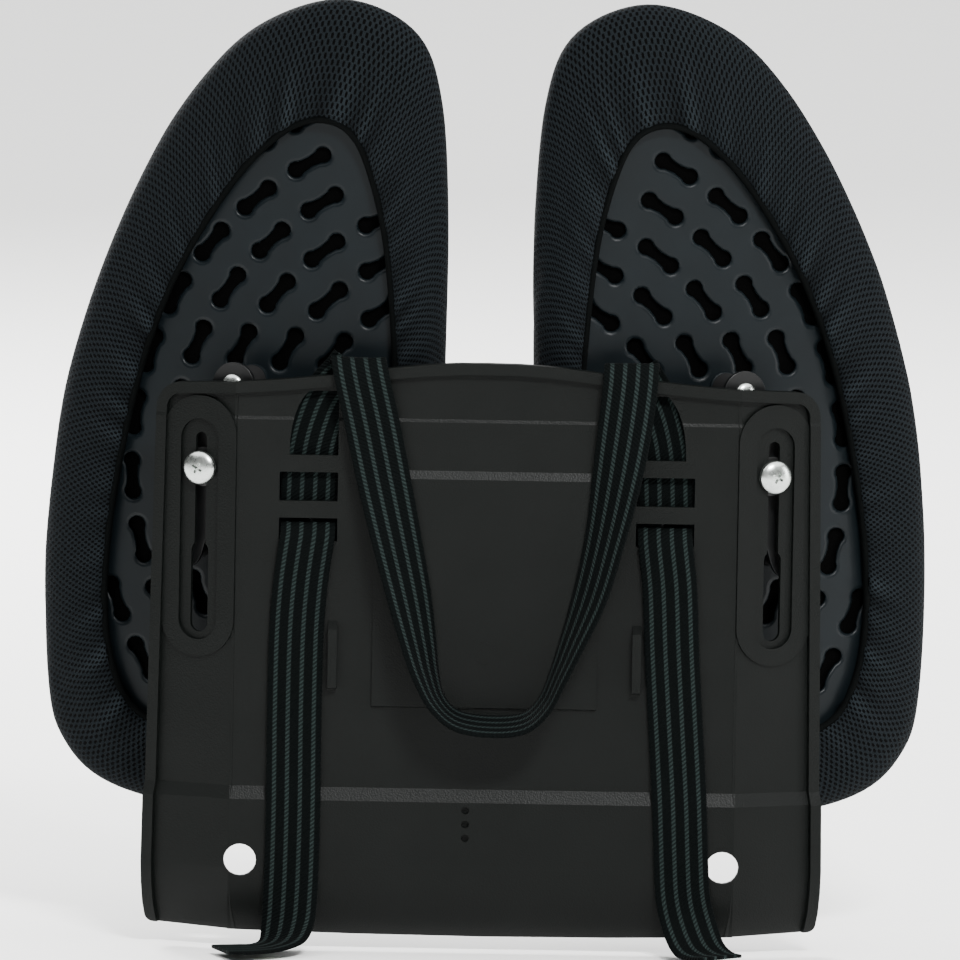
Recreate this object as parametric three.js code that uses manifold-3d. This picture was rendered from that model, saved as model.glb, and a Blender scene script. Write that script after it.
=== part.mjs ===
// A twin-wing back support that straps to the front of a chair's backrest.
// A moulded back panel carries two padded wings. Each wing hangs on a steel arm that a bolt clamps
// in a vertical slot, so it slides up and down, tilts about the bolt and flexes on two rubber buffers.
// Millimetres. +Z is up, the sitter is towards +Y, the chair's backrest is towards -Y.
// The origin is the middle of the round mark on the panel's rear face. The left wing is at -X.

import * as THREE from "three";
import { mergeVertices } from "three/addons/utils/BufferGeometryUtils.js";
import Module from "manifold-3d";

const wasm = await Module();
wasm.setup();

// ---- Driving dimensions -------------------------------------------------------------------------

const TOUCH_GAP = 0.3; // between pieces that bear on each other
const OVERRUN = 1; // how far a cutting tool runs past what it cuts

// Back panel
const PANEL_TOP = 133; // at the middle of its arched top edge
const PANEL_BOTTOM = -132; // at the middle of its bottom edge
const PANEL_SHOULDER_TOP = 119.5; // the level that the top edge runs out to
const PANEL_BOTTOM_RISE = 3.2; // how much higher the bottom edge is at the corners
const PANEL_WALL = 3;
const FOLD_X = 115; // where the flat middle turns into a shoulder
const SHOULDER_ANGLE = THREE.MathUtils.degToRad(22);
const SHOULDER_WIDTH = 40.3; // along the shoulder, at the origin's height
const SHOULDER_FLARE = 0.0157; // extra width for each millimetre further down
const TOP_CORNER_RADIUS = 12;
const BOTTOM_CORNER_RADIUS = 4;
const RIM_WIDTH = 5.2;
const RIM_RISE = 3;
const TOP_STEP_Z = 107;
const TOP_STEP_DEPTH = 0.5;
const CREASE_TOP = -63;
const CREASE_HEIGHT = 6;
const BAND_RISE = 2.5; // the band below the crease stands this much nearer the chair
const ROLL_TOP = -100; // the lip rolls forward below this
const LIP_FORWARD = 11.5;

// Raised middle pad, its round mould mark and the strap guides
const PAD_HALF_WIDTH = 51.3;
const PAD_TOP = 84.5;
const PAD_BOTTOM = -26;
const PAD_RISE = 1.6;
const PAD_CHAMFER = 5;
const MARK_DIAMETER = 10;
const MARK_RISE = 0.4;
const GUIDE_X = 69.5;
const GUIDE_WIDTH = 4;
const GUIDE_RISE = 4.5;
const GUIDE_TOP = 14;
const GUIDE_BOTTOM = -18;

// Holes in the panel
const LASH_HOLE_DIAMETER = 14.8;
const LASH_HOLE_X = 110.3;
const LASH_HOLE_Z = -97;
const PIT_DIAMETER = 3.6; // three blind pits in the band below the crease
const PIT_DEPTH = 2.2;
const PIT_X = -7.5;
const PIT_TOP_Z = -72.5;
const PIT_PITCH = 6.4;
const PIT_COUNT = 3;

// Webbing and the ladder that it is laced through
const WEBBING_WIDTH = 25;
const WEBBING_THICKNESS = 1.8;
const LADDER_X = 81.5;
const LADDER_CLEARANCE = 0.8; // on each side of the webbing
const LADDER_BAR = 7.8;
const LADDER_WINDOW = 13.3;
const LADDER_EXIT = 10.6; // height of the lowest opening
const LADDER_EXIT_Z = 50; // its lower edge
const LADDER_MOUTH_TOP = 119;
const LADDER_MOUTH_INSET = 4.3; // how far in the mouth's outer side starts at its bottom
const LADDER_MOUTH_NARROWING = 13; // and where it has curved in to at its top

// Clamp bolt and its slot
const BOLT_SHOULDER_X = 17.4; // from the fold, along the shoulder
const BOLT_Z = 82.3;
const BOLT_DIAMETER = 5;
const BOLT_HEAD_DIAMETER = 15.4;
const BOLT_HEAD_HEIGHT = 4;
const SLOT_WIDTH = 5.4;
const SLOT_TOP = 98.5;
const KEYHOLE_WIDTH = 8.4; // the slot's wide lower part, where the bolt's collar goes in
const KEYHOLE_TOP = 44;
const KEYHOLE_BOTTOM = 6.7;
const TRACK_WIDTH = 18.6; // the sunk track that the bolt's head slides in
const TRACK_TOP = 105;
const TRACK_BOTTOM = 3.3;
const TRACK_FLOOR = 0.8; // below the panel's rear face
const TRACK_PAD_WIDTH = 36.2;
const TRACK_PAD_TOP = 115.6;
const TRACK_PAD_BOTTOM = -4.5;
const TRACK_PAD_RISE = 1.2;
const WASHER_DIAMETER = 15;
const WASHER_THICKNESS = 0.7;
const SLIDER_DIAMETER = 18; // the nylon disc between panel and arm
const SLIDER_THICKNESS = 4.4;
const NUT_WIDTH = 8;
const NUT_THICKNESS = 4;

// Steel arm, rubber buffers and their screws
const ARM_THICKNESS = 2.5;
const ARM_WIDTH = 20.4;
const ARM_REACH = 39.9; // from the bolt to each buffer
const ARM_LEAN = THREE.MathUtils.degToRad(17.8); // the arm's top leans in
const SCREW_DIAMETER = 5;
const SCREW_HEAD_DIAMETER = 9.6;
const SCREW_HEAD_HEIGHT = 2.6;
const SCREW_GRIP = 6; // length of thread in the buffer
const BORE_CLEARANCE = 0.5; // on the radius, round a screw or bolt
const BUFFER_DIAMETER = 14;
const BUFFER_LENGTH = 19.8;
const BUFFER_CHAMFER = 1;
const FLEX_GAP = 0.55; // between arm and buffer, so that the wing can rock

// Wing shell, its perforations and its padding
const SHELL_WALL = 2.5;
const SHELL_INNER_DROP = 15.12; // how much nearer the chair its inner side is than the buffers' fronts
const SHELL_FLAT_SHORT = 80; // the shell is flat out to this distance short of the fold
const SHELL_SWEEP = 0.00227; // then it curves towards the sitter
const SHELL_LEAN_Z = 130; // and above this height it leans back
const SHELL_LEAN = 0.0004;
const BOSS_DIAMETER = 14.5;
const BOSS_RISE = 1.2;
const HOLE_CENTRE_Z = 81; // the perforations lie on arcs about this point on the middle line
const HOLE_FIRST_RADIUS = 88;
const HOLE_ARC_PITCH = 18.85;
const HOLE_ARCS = 7;
const HOLE_PITCH = 29.6; // along an arc
const HOLE_PHASE = 0.9;
const OUTER_HOLE_PHASE = 0.7; // on the arcs from OUTER_ARC on
const OUTER_ARC = 4;
const HOLE_LOBE_RADIUS = 3.7;
const HOLE_LOBE_SPACING = 14.3;
const HOLE_EDGE_MARGIN = -4; // from the cover's opening: the perforations run on under its hem
const HOLE_BOSS_GAP = 0.6;
const COVER_WALL = 1.6;
const PAD_CENTRE = [110, 108]; // the middle of a wing, across and up
const HEM_CORD_DIAMETER = 2;
const AROUND = 32; // points around a wing

// Outline of a right-hand wing and of the opening in the back of its cover: across, up
const WING_OUTLINE = [
  [20.5, 50], [20.5, 118], [20.5, 189], [24, 250], [37, 283], [70, 297], [107, 284.5], [134.5, 256.5],
  [159.5, 213], [178, 168.5], [190, 126], [198, 76.5], [201.8, 18.5], [200.5, -32], [194, -54],
  [178, -70], [148, -78], [100, -80.5], [52, -77], [29, -62], [21, -25],
];
const OPENING_OUTLINE = [
  [41.5, 55], [42.5, 92], [43, 130.5], [48, 184], [56.5, 219], [65.5, 236], [79, 241.5], [95, 236],
  [114, 217.5], [134, 187], [149.5, 154.5], [161, 118], [170, 74], [174.6, 36.5], [174.8, 6],
  [170.5, -17], [161, -34], [140, -43], [100, -46], [64, -41.5], [47.5, -25],
];

const SIDES = { left: -1, right: 1 };

// ---- Shape helpers ------------------------------------------------------------------------------

// A closed geometry as a solid that can be joined and cut.
function solid(geometry) {
  const bare = geometry.clone();
  bare.deleteAttribute("normal");
  bare.deleteAttribute("uv");
  const merged = mergeVertices(bare, 1e-4);
  return new wasm.Manifold(
    new wasm.Mesh({
      numProp: 3,
      vertProperties: merged.attributes.position.array,
      triVerts: new Uint32Array(merged.index.array),
    }),
  );
}

function geometryOf(made) {
  const { vertProperties, triVerts } = made.getMesh();
  const geometry = new THREE.BufferGeometry();
  geometry.setAttribute("position", new THREE.BufferAttribute(vertProperties, 3));
  geometry.setIndex(new THREE.BufferAttribute(triVerts, 1));
  return geometry;
}

// A shape drawn across and up, made solid from yRear to yFront.
function prism(shape, yRear, yFront, curveSegments = 6) {
  const geometry = new THREE.ExtrudeGeometry(shape, {
    depth: yFront - yRear,
    bevelEnabled: false,
    curveSegments,
  });
  return geometry.rotateX(Math.PI / 2).translate(0, yFront, 0);
}

// A profile of [y, z] points, made solid from x0 to x1.
function extrusionAlongX(profile, x0, x1) {
  const shape = new THREE.Shape(profile.map(([y, z]) => new THREE.Vector2(y, z)));
  const geometry = new THREE.ExtrudeGeometry(shape, { depth: x1 - x0, bevelEnabled: false });
  const turn = new THREE.Matrix4().set(0, 0, 1, x0, 1, 0, 0, 0, 0, 1, 0, 0, 0, 0, 0, 1);
  return geometry.applyMatrix4(turn);
}

// An upright slot shape with round ends.
function slotShape(x, bottom, top, width) {
  const r = width / 2;
  const shape = new THREE.Shape();
  shape.absarc(x, top - r, r, 0, Math.PI);
  shape.absarc(x, bottom + r, r, Math.PI, 2 * Math.PI);
  shape.closePath();
  return shape;
}

function rectangle(x0, x1, z0, z1) {
  return new THREE.Shape([
    new THREE.Vector2(x0, z0), new THREE.Vector2(x1, z0), new THREE.Vector2(x1, z1), new THREE.Vector2(x0, z1),
  ]);
}

// A round piece about the Y axis from [radius, y] points, from one end of the axis to the other.
function turned(profile, segments = 16) {
  return new THREE.LatheGeometry(profile.map(([r, y]) => new THREE.Vector2(r, y)), segments);
}

function disc(diameter, yRear, yFront, segments = 16) {
  const r = diameter / 2;
  return turned([[0, yRear], [r, yRear], [r, yFront], [0, yFront]], segments);
}

function ring(diameter, bore, yRear, yFront, segments = 16) {
  const [r, b] = [diameter / 2, bore / 2];
  return turned([[b, yRear], [r, yRear], [r, yFront], [b, yFront], [b, yRear]], segments);
}

// A pan-head screw about the Y axis. Its head's underside is at y = 0 and its shank runs towards +Y.
function screw(headDiameter, headHeight, diameter, length, segments = 16) {
  const [head, shank] = [headDiameter / 2, diameter / 2];
  return turned(
    [
      [0, -headHeight], [head * 0.55, -headHeight * 0.93], [head * 0.88, -headHeight * 0.6],
      [head, -headHeight * 0.2], [head, 0], [shank, 0],
      [shank, length - 0.6], [shank * 0.75, length], [0, length],
    ],
    segments,
  );
}

// The geometry's mirror image across the middle plane, with its faces turned back outwards.
function mirrored(geometry) {
  const copy = geometry.clone();
  copy.scale(-1, 1, 1);
  if (!copy.index) copy.setIndex(Array.from({ length: copy.attributes.position.count }, (_, i) => i));
  const index = copy.index.array;
  for (let i = 0; i < index.length; i += 3) {
    [index[i + 1], index[i + 2]] = [index[i + 2], index[i + 1]];
  }
  return copy;
}

// ---- Back panel ---------------------------------------------------------------------------------

function topEdge(fromMiddle) {
  const rise = PANEL_TOP - PANEL_SHOULDER_TOP;
  return PANEL_SHOULDER_TOP + rise / (1 + (fromMiddle / 75) ** 2.6);
}

function bottomEdge(fromMiddle) {
  return PANEL_BOTTOM + PANEL_BOTTOM_RISE * (fromMiddle / (FOLD_X + SHOULDER_WIDTH)) ** 2;
}

// The sheet's section, as [y, z]: its rear face from the top down, then its front face back up.
// It is as thick as the wall where rise is 0, and stands up to rise nearer the chair for the rim.
function sheetSection(rise, wall) {
  const rear = [
    [TOP_STEP_DEPTH, PANEL_TOP + 5], [TOP_STEP_DEPTH, TOP_STEP_Z], [0, TOP_STEP_Z - 1.5], [0, CREASE_TOP],
    [-BAND_RISE, CREASE_TOP - CREASE_HEIGHT], [-BAND_RISE, ROLL_TOP],
  ];
  const roll = [[0.1, 0.31], [0.3, 0.6], [0.62, 0.84], [1, 1.04]];
  for (const [out, down] of roll) {
    rear.push([-BAND_RISE + out * LIP_FORWARD, ROLL_TOP + down * (PANEL_BOTTOM - ROLL_TOP)]);
  }
  const line = rear.map(([y, z]) => [y - rise, z]);
  const front = rear.map(([y, z]) => [y + wall, z + Math.max(0, (ROLL_TOP - z) / 16)]);
  front[0][0] = front[1][0] = wall;
  return [...line, ...front.reverse()];
}

// The flat middle's outline, with everything below `inset` from its top edge left out if inset is given.
function middleOutline(inset) {
  const half = FOLD_X + 0.6;
  const across = Array.from({ length: 17 }, (_, i) => half - (i * half) / 8);
  const top = across.map((x) => new THREE.Vector2(x, topEdge(Math.abs(x))));
  const below = across.map((x) => {
    const z = inset ? topEdge(Math.abs(x)) - inset : bottomEdge(Math.abs(x));
    return new THREE.Vector2(x, z);
  });
  return new THREE.Shape([...top, ...below.reverse()]);
}

// A shoulder's outline, drawn along the shoulder from the fold and up, shrunk by inset.
function shoulderOutline(inset) {
  const outer = (z) => SHOULDER_WIDTH - SHOULDER_FLARE * z - inset;
  const top = topEdge(FOLD_X + SHOULDER_WIDTH) - inset;
  const bottom = bottomEdge(FOLD_X + SHOULDER_WIDTH) + (inset ? -OVERRUN : 0);
  const [rTop, rBottom] = [TOP_CORNER_RADIUS - inset, BOTTOM_CORNER_RADIUS];
  const shape = new THREE.Shape();
  shape.moveTo(-0.6, bottomEdge(FOLD_X) + (inset ? -OVERRUN : 0));
  if (inset) {
    shape.lineTo(outer(bottom), bottom);
  } else {
    shape.lineTo(outer(bottom) - rBottom, bottom);
    shape.quadraticCurveTo(outer(bottom), bottom, outer(bottom), bottom + rBottom);
  }
  shape.lineTo(outer(top) + 0.2, top - rTop);
  shape.absarc(outer(top) - rTop + 0.2, top - rTop, rTop, 0, Math.PI / 2);
  shape.lineTo(-0.6, topEdge(FOLD_X) - inset);
  return shape;
}

// Turns a solid drawn along a shoulder into its place beside the middle.
function ontoShoulder(geometry, side) {
  const placed = geometry.clone().rotateZ(SHOULDER_ANGLE).translate(FOLD_X, 0, 0);
  return side < 0 ? mirrored(placed) : placed;
}

function ladderOpenings(side) {
  const half = WEBBING_WIDTH / 2 + LADDER_CLEARANCE;
  const [x0, x1] = [LADDER_X - half, LADDER_X + half];
  const windowBottom = LADDER_EXIT_Z + LADDER_EXIT + LADDER_BAR;
  const mouthBottom = windowBottom + LADDER_WINDOW + LADDER_BAR;
  const mouth = new THREE.Shape();
  mouth.moveTo(x0, mouthBottom);
  mouth.lineTo(x1 - LADDER_MOUTH_INSET, mouthBottom);
  const bend = [x1 - LADDER_MOUTH_INSET, LADDER_MOUTH_TOP - 8];
  mouth.quadraticCurveTo(...bend, x1 - LADDER_MOUTH_NARROWING, LADDER_MOUTH_TOP);
  mouth.lineTo(x0, LADDER_MOUTH_TOP);
  const shapes = [
    rectangle(x0, x1, LADDER_EXIT_Z, LADDER_EXIT_Z + LADDER_EXIT),
    rectangle(x0, x1, windowBottom, windowBottom + LADDER_WINDOW),
    mouth,
  ];
  return shapes.map((shape) => {
    const cutter = prism(shape, -OVERRUN, PANEL_WALL + OVERRUN);
    return solid(side < 0 ? mirrored(cutter) : cutter);
  });
}

function trackTools() {
  const pad = slotShape(BOLT_SHOULDER_X, TRACK_PAD_BOTTOM, TRACK_PAD_TOP, TRACK_PAD_WIDTH);
  const track = slotShape(BOLT_SHOULDER_X, TRACK_BOTTOM, TRACK_TOP, TRACK_WIDTH);
  const keyhole = slotShape(BOLT_SHOULDER_X, KEYHOLE_BOTTOM, KEYHOLE_TOP + KEYHOLE_WIDTH / 2, KEYHOLE_WIDTH);
  const slot = slotShape(BOLT_SHOULDER_X, KEYHOLE_TOP - SLOT_WIDTH, SLOT_TOP, SLOT_WIDTH);
  const through = PANEL_WALL + OVERRUN;
  return {
    add: prism(pad, -TRACK_PAD_RISE, 1, 8),
    cuts: [
      prism(track, -TRACK_PAD_RISE - OVERRUN, TRACK_FLOOR, 8),
      prism(keyhole, -OVERRUN, through, 5),
      prism(slot, -OVERRUN, through, 5),
    ],
  };
}

function backPanel() {
  const wide = FOLD_X + SHOULDER_WIDTH + 20;
  const sheet = sheetSection(0, PANEL_WALL);
  const rim = sheetSection(RIM_RISE, 1.5);
  const deep = [-30, 40];
  let panel = solid(extrusionAlongX(sheet, -wide, wide)).intersect(solid(prism(middleOutline(), ...deep)));
  const topRim = solid(prism(middleOutline(RIM_WIDTH), ...deep));
  panel = panel.add(solid(extrusionAlongX(rim, -wide, wide)).intersect(topRim));

  const outline = solid(prism(shoulderOutline(0), ...deep));
  const inside = solid(prism(shoulderOutline(RIM_WIDTH), deep[0] - OVERRUN, deep[1] + OVERRUN));
  const shoulder = solid(extrusionAlongX(sheet, -1, wide)).intersect(outline);
  const edge = solid(extrusionAlongX(rim, -1, wide)).intersect(outline.subtract(inside));
  const track = trackTools();
  let whole = shoulder.add(edge).add(solid(track.add).intersect(outline));
  for (const cut of track.cuts) whole = whole.subtract(solid(cut));
  for (const side of Object.values(SIDES)) {
    panel = panel.add(solid(ontoShoulder(geometryOf(whole), side)));
  }

  panel = panel.add(solid(middlePad()));
  panel = panel.add(solid(disc(MARK_DIAMETER, -PAD_RISE - MARK_RISE, 0, 16)));
  for (const side of Object.values(SIDES)) {
    panel = panel.add(solid(strapGuide().translate(side * GUIDE_X, 0, 0)));
    for (const cutter of ladderOpenings(side)) panel = panel.subtract(cutter);
    const lashHole = disc(LASH_HOLE_DIAMETER, ...deep, 20).translate(side * LASH_HOLE_X, 0, LASH_HOLE_Z);
    panel = panel.subtract(solid(lashHole));
  }
  for (let i = 0; i < PIT_COUNT; i++) {
    const pit = disc(PIT_DIAMETER, -BAND_RISE - OVERRUN, PIT_DEPTH - BAND_RISE, 10);
    panel = panel.subtract(solid(pit.translate(PIT_X, 0, PIT_TOP_Z - i * PIT_PITCH)));
  }
  return geometryOf(panel);
}

function middlePad() {
  const section = [
    [0.5, PAD_BOTTOM], [-PAD_RISE, PAD_BOTTOM + 0.8], [-PAD_RISE, PAD_TOP - PAD_CHAMFER], [0.5, PAD_TOP],
  ];
  return extrusionAlongX(section.reverse(), -PAD_HALF_WIDTH, PAD_HALF_WIDTH);
}

function strapGuide() {
  const section = [
    [0.5, GUIDE_BOTTOM], [-GUIDE_RISE, GUIDE_BOTTOM + 1], [-GUIDE_RISE, GUIDE_TOP - 4], [0.5, GUIDE_TOP],
  ];
  return extrusionAlongX(section.reverse(), -GUIDE_WIDTH / 2, GUIDE_WIDTH / 2);
}

// ---- Webbing ------------------------------------------------------------------------------------

// A flat strap along a route of [x, y, z, across x, across y, across z]: the last three point across
// the strap's width. The route is one smooth curve, cut into `steps` stretches.
function strapAlong(route, steps) {
  const line = new THREE.CatmullRomCurve3(route.map((p) => new THREE.Vector3(p[0], p[1], p[2])));
  const across = new THREE.CatmullRomCurve3(route.map((p) => new THREE.Vector3(p[3], p[4], p[5])));
  const positions = [];
  const index = [];
  for (let i = 0; i <= steps; i++) {
    const t = i / steps;
    const centre = line.getPoint(t);
    const along = line.getTangent(t);
    const width = across.getPoint(t);
    width.addScaledVector(along, -width.dot(along)).setLength(WEBBING_WIDTH / 2);
    const thick = new THREE.Vector3().crossVectors(along, width).setLength(WEBBING_THICKNESS / 2);
    for (const [w, h] of [[-1, -1], [1, -1], [1, 1], [-1, 1]]) {
      const corner = centre.clone().addScaledVector(width, w).addScaledVector(thick, h);
      positions.push(...corner.toArray());
    }
    if (i === 0) continue;
    for (let k = 0; k < 4; k++) {
      const [a, b] = [4 * (i - 1) + k, 4 * (i - 1) + ((k + 1) % 4)];
      index.push(a, b, b + 4, a, b + 4, a + 4);
    }
  }
  const last = 4 * steps;
  index.push(0, 2, 1, 0, 3, 2, last, last + 1, last + 2, last, last + 2, last + 3);
  const geometry = new THREE.BufferGeometry();
  geometry.setAttribute("position", new THREE.Float32BufferAttribute(positions, 3));
  geometry.setIndex(index);
  return geometry;
}

// From the left ladder up in front of the panel, over its top edge, down to the loop's lowest point
// behind it, and back up to the right ladder.
const STRAP_LOOP = [
  [-82, 4.6, 62, -1, 0, 0],
  [-81.6, 4.6, 74, -1, 0, 0],
  [-80.8, 4.6, 90, -1, 0, -0.1],
  [-77.5, 4.8, 104, -1, 0, -0.35],
  [-72.5, 5, 116, -1, 0, -0.5],
  [-64.8, 5.3, 125, -1, 0, -0.35],
  [-60.8, 5, 130.4, -1, 0, -0.05],
  [-59.8, 0.6, 134, -1, 0, 0],
  [-59, -4.6, 130.8, -1, 0, -0.1],
  [-57, -6.2, 122, -1, 0, -0.2],
  [-52.7, -6.2, 104, -1, -0.06, -0.22],
  [-47.2, -6.8, 79, -1, -0.24, -0.23],
  [-41.4, -9, 54, -1, -0.5, -0.24],
  [-35.2, -11.4, 28, -1, -0.8, -0.24],
  [-29.8, -13.6, 4, -0.8, -1.1, -0.2],
  [-26.6, -14.6, -9, -0.56, -1.2, -0.2],
  [-21.4, -15.1, -21.5, -0.26, -1.2, -0.24],
  [-12, -15.3, -29.6, -0.06, -1.2, -0.3],
  [4, -15.3, -32, 0, -1.2, -0.32],
  [19, -15.3, -30, 0.06, -1.2, -0.3],
  [28, -15.2, -21.5, 0.2, -1.2, -0.22],
  [33.6, -15, -9, 0.3, -1.2, -0.2],
  [38.8, -14.6, 4, 0.44, -1.15, -0.18],
  [47.6, -13.4, 28, 0.62, -0.9, -0.2],
  [54, -12, 54, 0.74, -0.76, -0.16],
  [58.6, -9.6, 79, 0.88, -0.5, -0.14],
  [62.2, -7, 104, 1, -0.2, -0.12],
  [64.2, -6.2, 122, 1, 0, -0.1],
  [64.8, -4.6, 130.2, 1, 0, -0.06],
  [65, 0.6, 133.4, 1, 0, 0],
  [65.5, 5, 129.8, 1, 0, -0.05],
  [68.6, 5.3, 124, 1, 0, -0.35],
  [74, 5, 115, 1, 0, -0.45],
  [78, 4.8, 104, 1, 0, -0.3],
  [80.8, 4.6, 90, 1, 0, -0.1],
  [81.6, 4.6, 74, 1, 0, 0],
  [82, 4.6, 62, 1, 0, 0],
];

// Each tail comes out of the ladder, runs down the panel and curls at its cut end.
const TAIL_LEFT = [
  [-81.5, 3.4, 58.2, 1, 0, 0],
  [-81.5, 0.6, 55.8, 1, 0, 0],
  [-81.7, -1.9, 52, 1, 0, 0],
  [-82.6, -2.6, 46, 1, 0, 0.03],
  [-84.6, -2.4, 30, 1, 0, 0.05],
  [-86, -2.2, 8, 1, 0, 0.03],
  [-86.4, -2.2, -25, 1, 0, 0],
  [-86.3, -2.6, -54, 1, 0, 0],
  [-86.2, -4.4, -70, 1, 0, 0],
  [-86.4, -4.4, -92, 1, 0, 0],
  [-86.8, -4.9, -110, 1, -0.05, 0.02],
  [-87.6, -7.5, -124, 1, -0.2, 0.1],
  [-90, -14, -132, 0.95, -0.5, 0.12],
  [-96.5, -20.5, -134.6, 0.75, -0.85, 0.05],
  [-106, -25.5, -135, 0.5, -1, 0],
  [-118, -30, -134.8, 0.4, -1, 0],
];
const TAIL_RIGHT = [
  [81.5, 3.4, 58.2, 1, 0, 0],
  [81.5, 0.6, 55.8, 1, 0, 0],
  [81.7, -1.9, 52, 1, 0, 0],
  [82.4, -2.6, 46, 1, 0, 0],
  [84.2, -2.4, 30, 1, 0, 0.04],
  [85.6, -2.2, 2, 1, 0, 0.06],
  [87.6, -2.2, -28, 1, 0, 0.07],
  [89.4, -2.6, -54, 1, 0, 0.05],
  [90.4, -4.4, -70, 1, 0, 0.04],
  [91.4, -4.4, -92, 1, 0, 0.05],
  [92.6, -4.9, -110, 1, 0.02, 0.12],
  [95.4, -7.6, -122, 1, 0.12, 0.2],
  [99.6, -14, -131.6, 1, 0.3, 0.12],
  [104.6, -21, -134.8, 1, 0.45, 0.05],
  [110, -28, -134.8, 1, 0.55, 0],
];

// ---- Wings --------------------------------------------------------------------------------------

// How far forward the rear face of a wing's shell is, at a place across and up.
function shellRear(x, z) {
  const sweep = SHELL_SWEEP * Math.max(0, x - (FOLD_X - SHELL_FLAT_SHORT)) ** 2;
  const lean = SHELL_LEAN * Math.max(0, z - SHELL_LEAN_Z) ** 2;
  return shellInnerY + sweep - lean;
}

function evenPoints(outline) {
  const curve = new THREE.CatmullRomCurve3(outline.map(([x, z]) => new THREE.Vector3(x, 0, z)), true);
  return curve.getSpacedPoints(AROUND).slice(0, AROUND).map((p) => [p.x, p.z]);
}

const wingEdge = evenPoints(WING_OUTLINE);
const openingEdge = evenPoints(OPENING_OUTLINE);

// A point around a wing at share s of the way out: 0 is the middle, 1 the cover's opening, 2 the edge.
function wingPoint(j, s) {
  const [from, to, t] = s <= 1 ? [PAD_CENTRE, openingEdge[j], s] : [openingEdge[j], wingEdge[j], s - 1];
  return [from[0] + (to[0] - from[0]) * t, from[1] + (to[1] - from[1]) * t];
}

// A closed skin through rows of [share out, distance in front of the shell's rear face].
// It starts and ends on the middle, or closes on itself if loops is true.
function wingLoft(rows, loops = false) {
  const positions = [];
  const index = [];
  const starts = [];
  for (const [s, y] of rows) {
    starts.push(positions.length / 3);
    const points = s === 0 ? [PAD_CENTRE] : wingEdge.map((_, j) => wingPoint(j, s));
    for (const [x, z] of points) positions.push(x, shellRear(x, z) + y, z);
  }
  const pairs = rows.length - (loops ? 0 : 1);
  for (let r = 0; r < pairs; r++) {
    const next = (r + 1) % rows.length;
    for (let j = 0; j < AROUND; j++) {
      const k = (j + 1) % AROUND;
      const [a, b] = rows[r][0] === 0 ? [starts[r], starts[r]] : [starts[r] + j, starts[r] + k];
      const [c, d] = rows[next][0] === 0 ? [starts[next], starts[next]] : [starts[next] + j, starts[next] + k];
      // The same diagonal whether the rows run outwards or inwards, so that skins nest.
      if (rows[next][0] < rows[r][0]) {
        index.push(a, c, b);
        if (c !== d) index.push(b, c, d);
      } else {
        if (a !== b) index.push(a, d, b);
        index.push(a, c, d);
      }
    }
  }
  const geometry = new THREE.BufferGeometry();
  geometry.setAttribute("position", new THREE.Float32BufferAttribute(positions, 3));
  geometry.setIndex(index);
  return geometry;
}

// The cover's outer skin, from the middle of the front round the edge to the hem at the back.
const COVER_SKIN = [
  [0, 25], [0.55, 27], [1, 28], [1.55, 26], [1.85, 19], [2, 8],
  [1.88, -3.5], [1.5, -8.5], [1.15, -7.5], [1.02, -5], [1, -3.4],
];
const HEM = [[1.015, -2.9], [1.04, -4.2]];

// The same skin one wall further in, from the hem back to the middle.
function inward(skin, wall) {
  return skin.map(([s, y]) => {
    const side = s > 1.8 ? wall / 30 : 0;
    const sink = y > 10 ? -wall : y < -4 ? wall : 0;
    return [s - side, y + sink];
  });
}

function wingCover() {
  const inner = inward(COVER_SKIN.slice(0, 9), COVER_WALL).reverse();
  return wingLoft([...COVER_SKIN, ...HEM, ...inner]);
}

function wingFoam() {
  const outside = inward(COVER_SKIN.slice(0, 9), COVER_WALL + TOUCH_GAP);
  const rear = [[1.15, -TOUCH_GAP - 1], [1.35, -TOUCH_GAP], [1.7, -TOUCH_GAP], [1.76, -TOUCH_GAP]];
  const front = [1.76, 1.7, 1.35, 1, 0.55, 0].map((s) => [s, SHELL_WALL + TOUCH_GAP]);
  const bed = [...rear, ...front];
  return solid(wingLoft([...outside, ...bed]));
}

function wingShell() {
  return solid(
    wingLoft([
      [0, SHELL_WALL], [0.55, SHELL_WALL], [1, SHELL_WALL], [1.35, SHELL_WALL], [1.7, SHELL_WALL],
      [1.7, 0], [1.35, 0], [1, 0], [0.55, 0], [0, 0],
    ]),
  );
}

function hemCord() {
  const r = HEM_CORD_DIAMETER / 2;
  const rows = Array.from({ length: 6 }, (_, i) => {
    const turn = (-i * Math.PI) / 3;
    return [1.07 + (Math.cos(turn) * r) / 34, -2.2 + Math.sin(turn) * r];
  });
  return wingLoft(rows, true);
}

function insideOpening(x, z, margin) {
  return openingEdge.every(([x0, z0], j) => {
    const [x1, z1] = openingEdge[(j + 1) % AROUND];
    const length = Math.hypot(x1 - x0, z1 - z0);
    return ((z1 - z0) * (x - x0) - (x1 - x0) * (z - z0)) / length > margin;
  });
}

// Two round lobes joined by a waist, drawn lengthways along the first axis.
function perforationShape() {
  const points = [];
  for (const side of [1, -1]) {
    for (const degrees of [-130, -65, 0, 65, 130]) {
      const a = THREE.MathUtils.degToRad(degrees);
      const x = HOLE_LOBE_SPACING / 2 + HOLE_LOBE_RADIUS * Math.cos(a);
      points.push(new THREE.Vector2(side * x, side * HOLE_LOBE_RADIUS * Math.sin(a)));
    }
  }
  return new THREE.Shape(points);
}

// How far a point is from the edge of a perforation at [across, up, turn].
function gapToHole([px, pz], [x, z, turn]) {
  const [ax, az] = [Math.cos(turn), Math.sin(turn)];
  const half = HOLE_LOBE_SPACING / 2;
  const along = THREE.MathUtils.clamp((px - x) * ax + (pz - z) * az, -half, half);
  return Math.hypot(px - x - along * ax, pz - z - along * az) - HOLE_LOBE_RADIUS;
}

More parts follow.
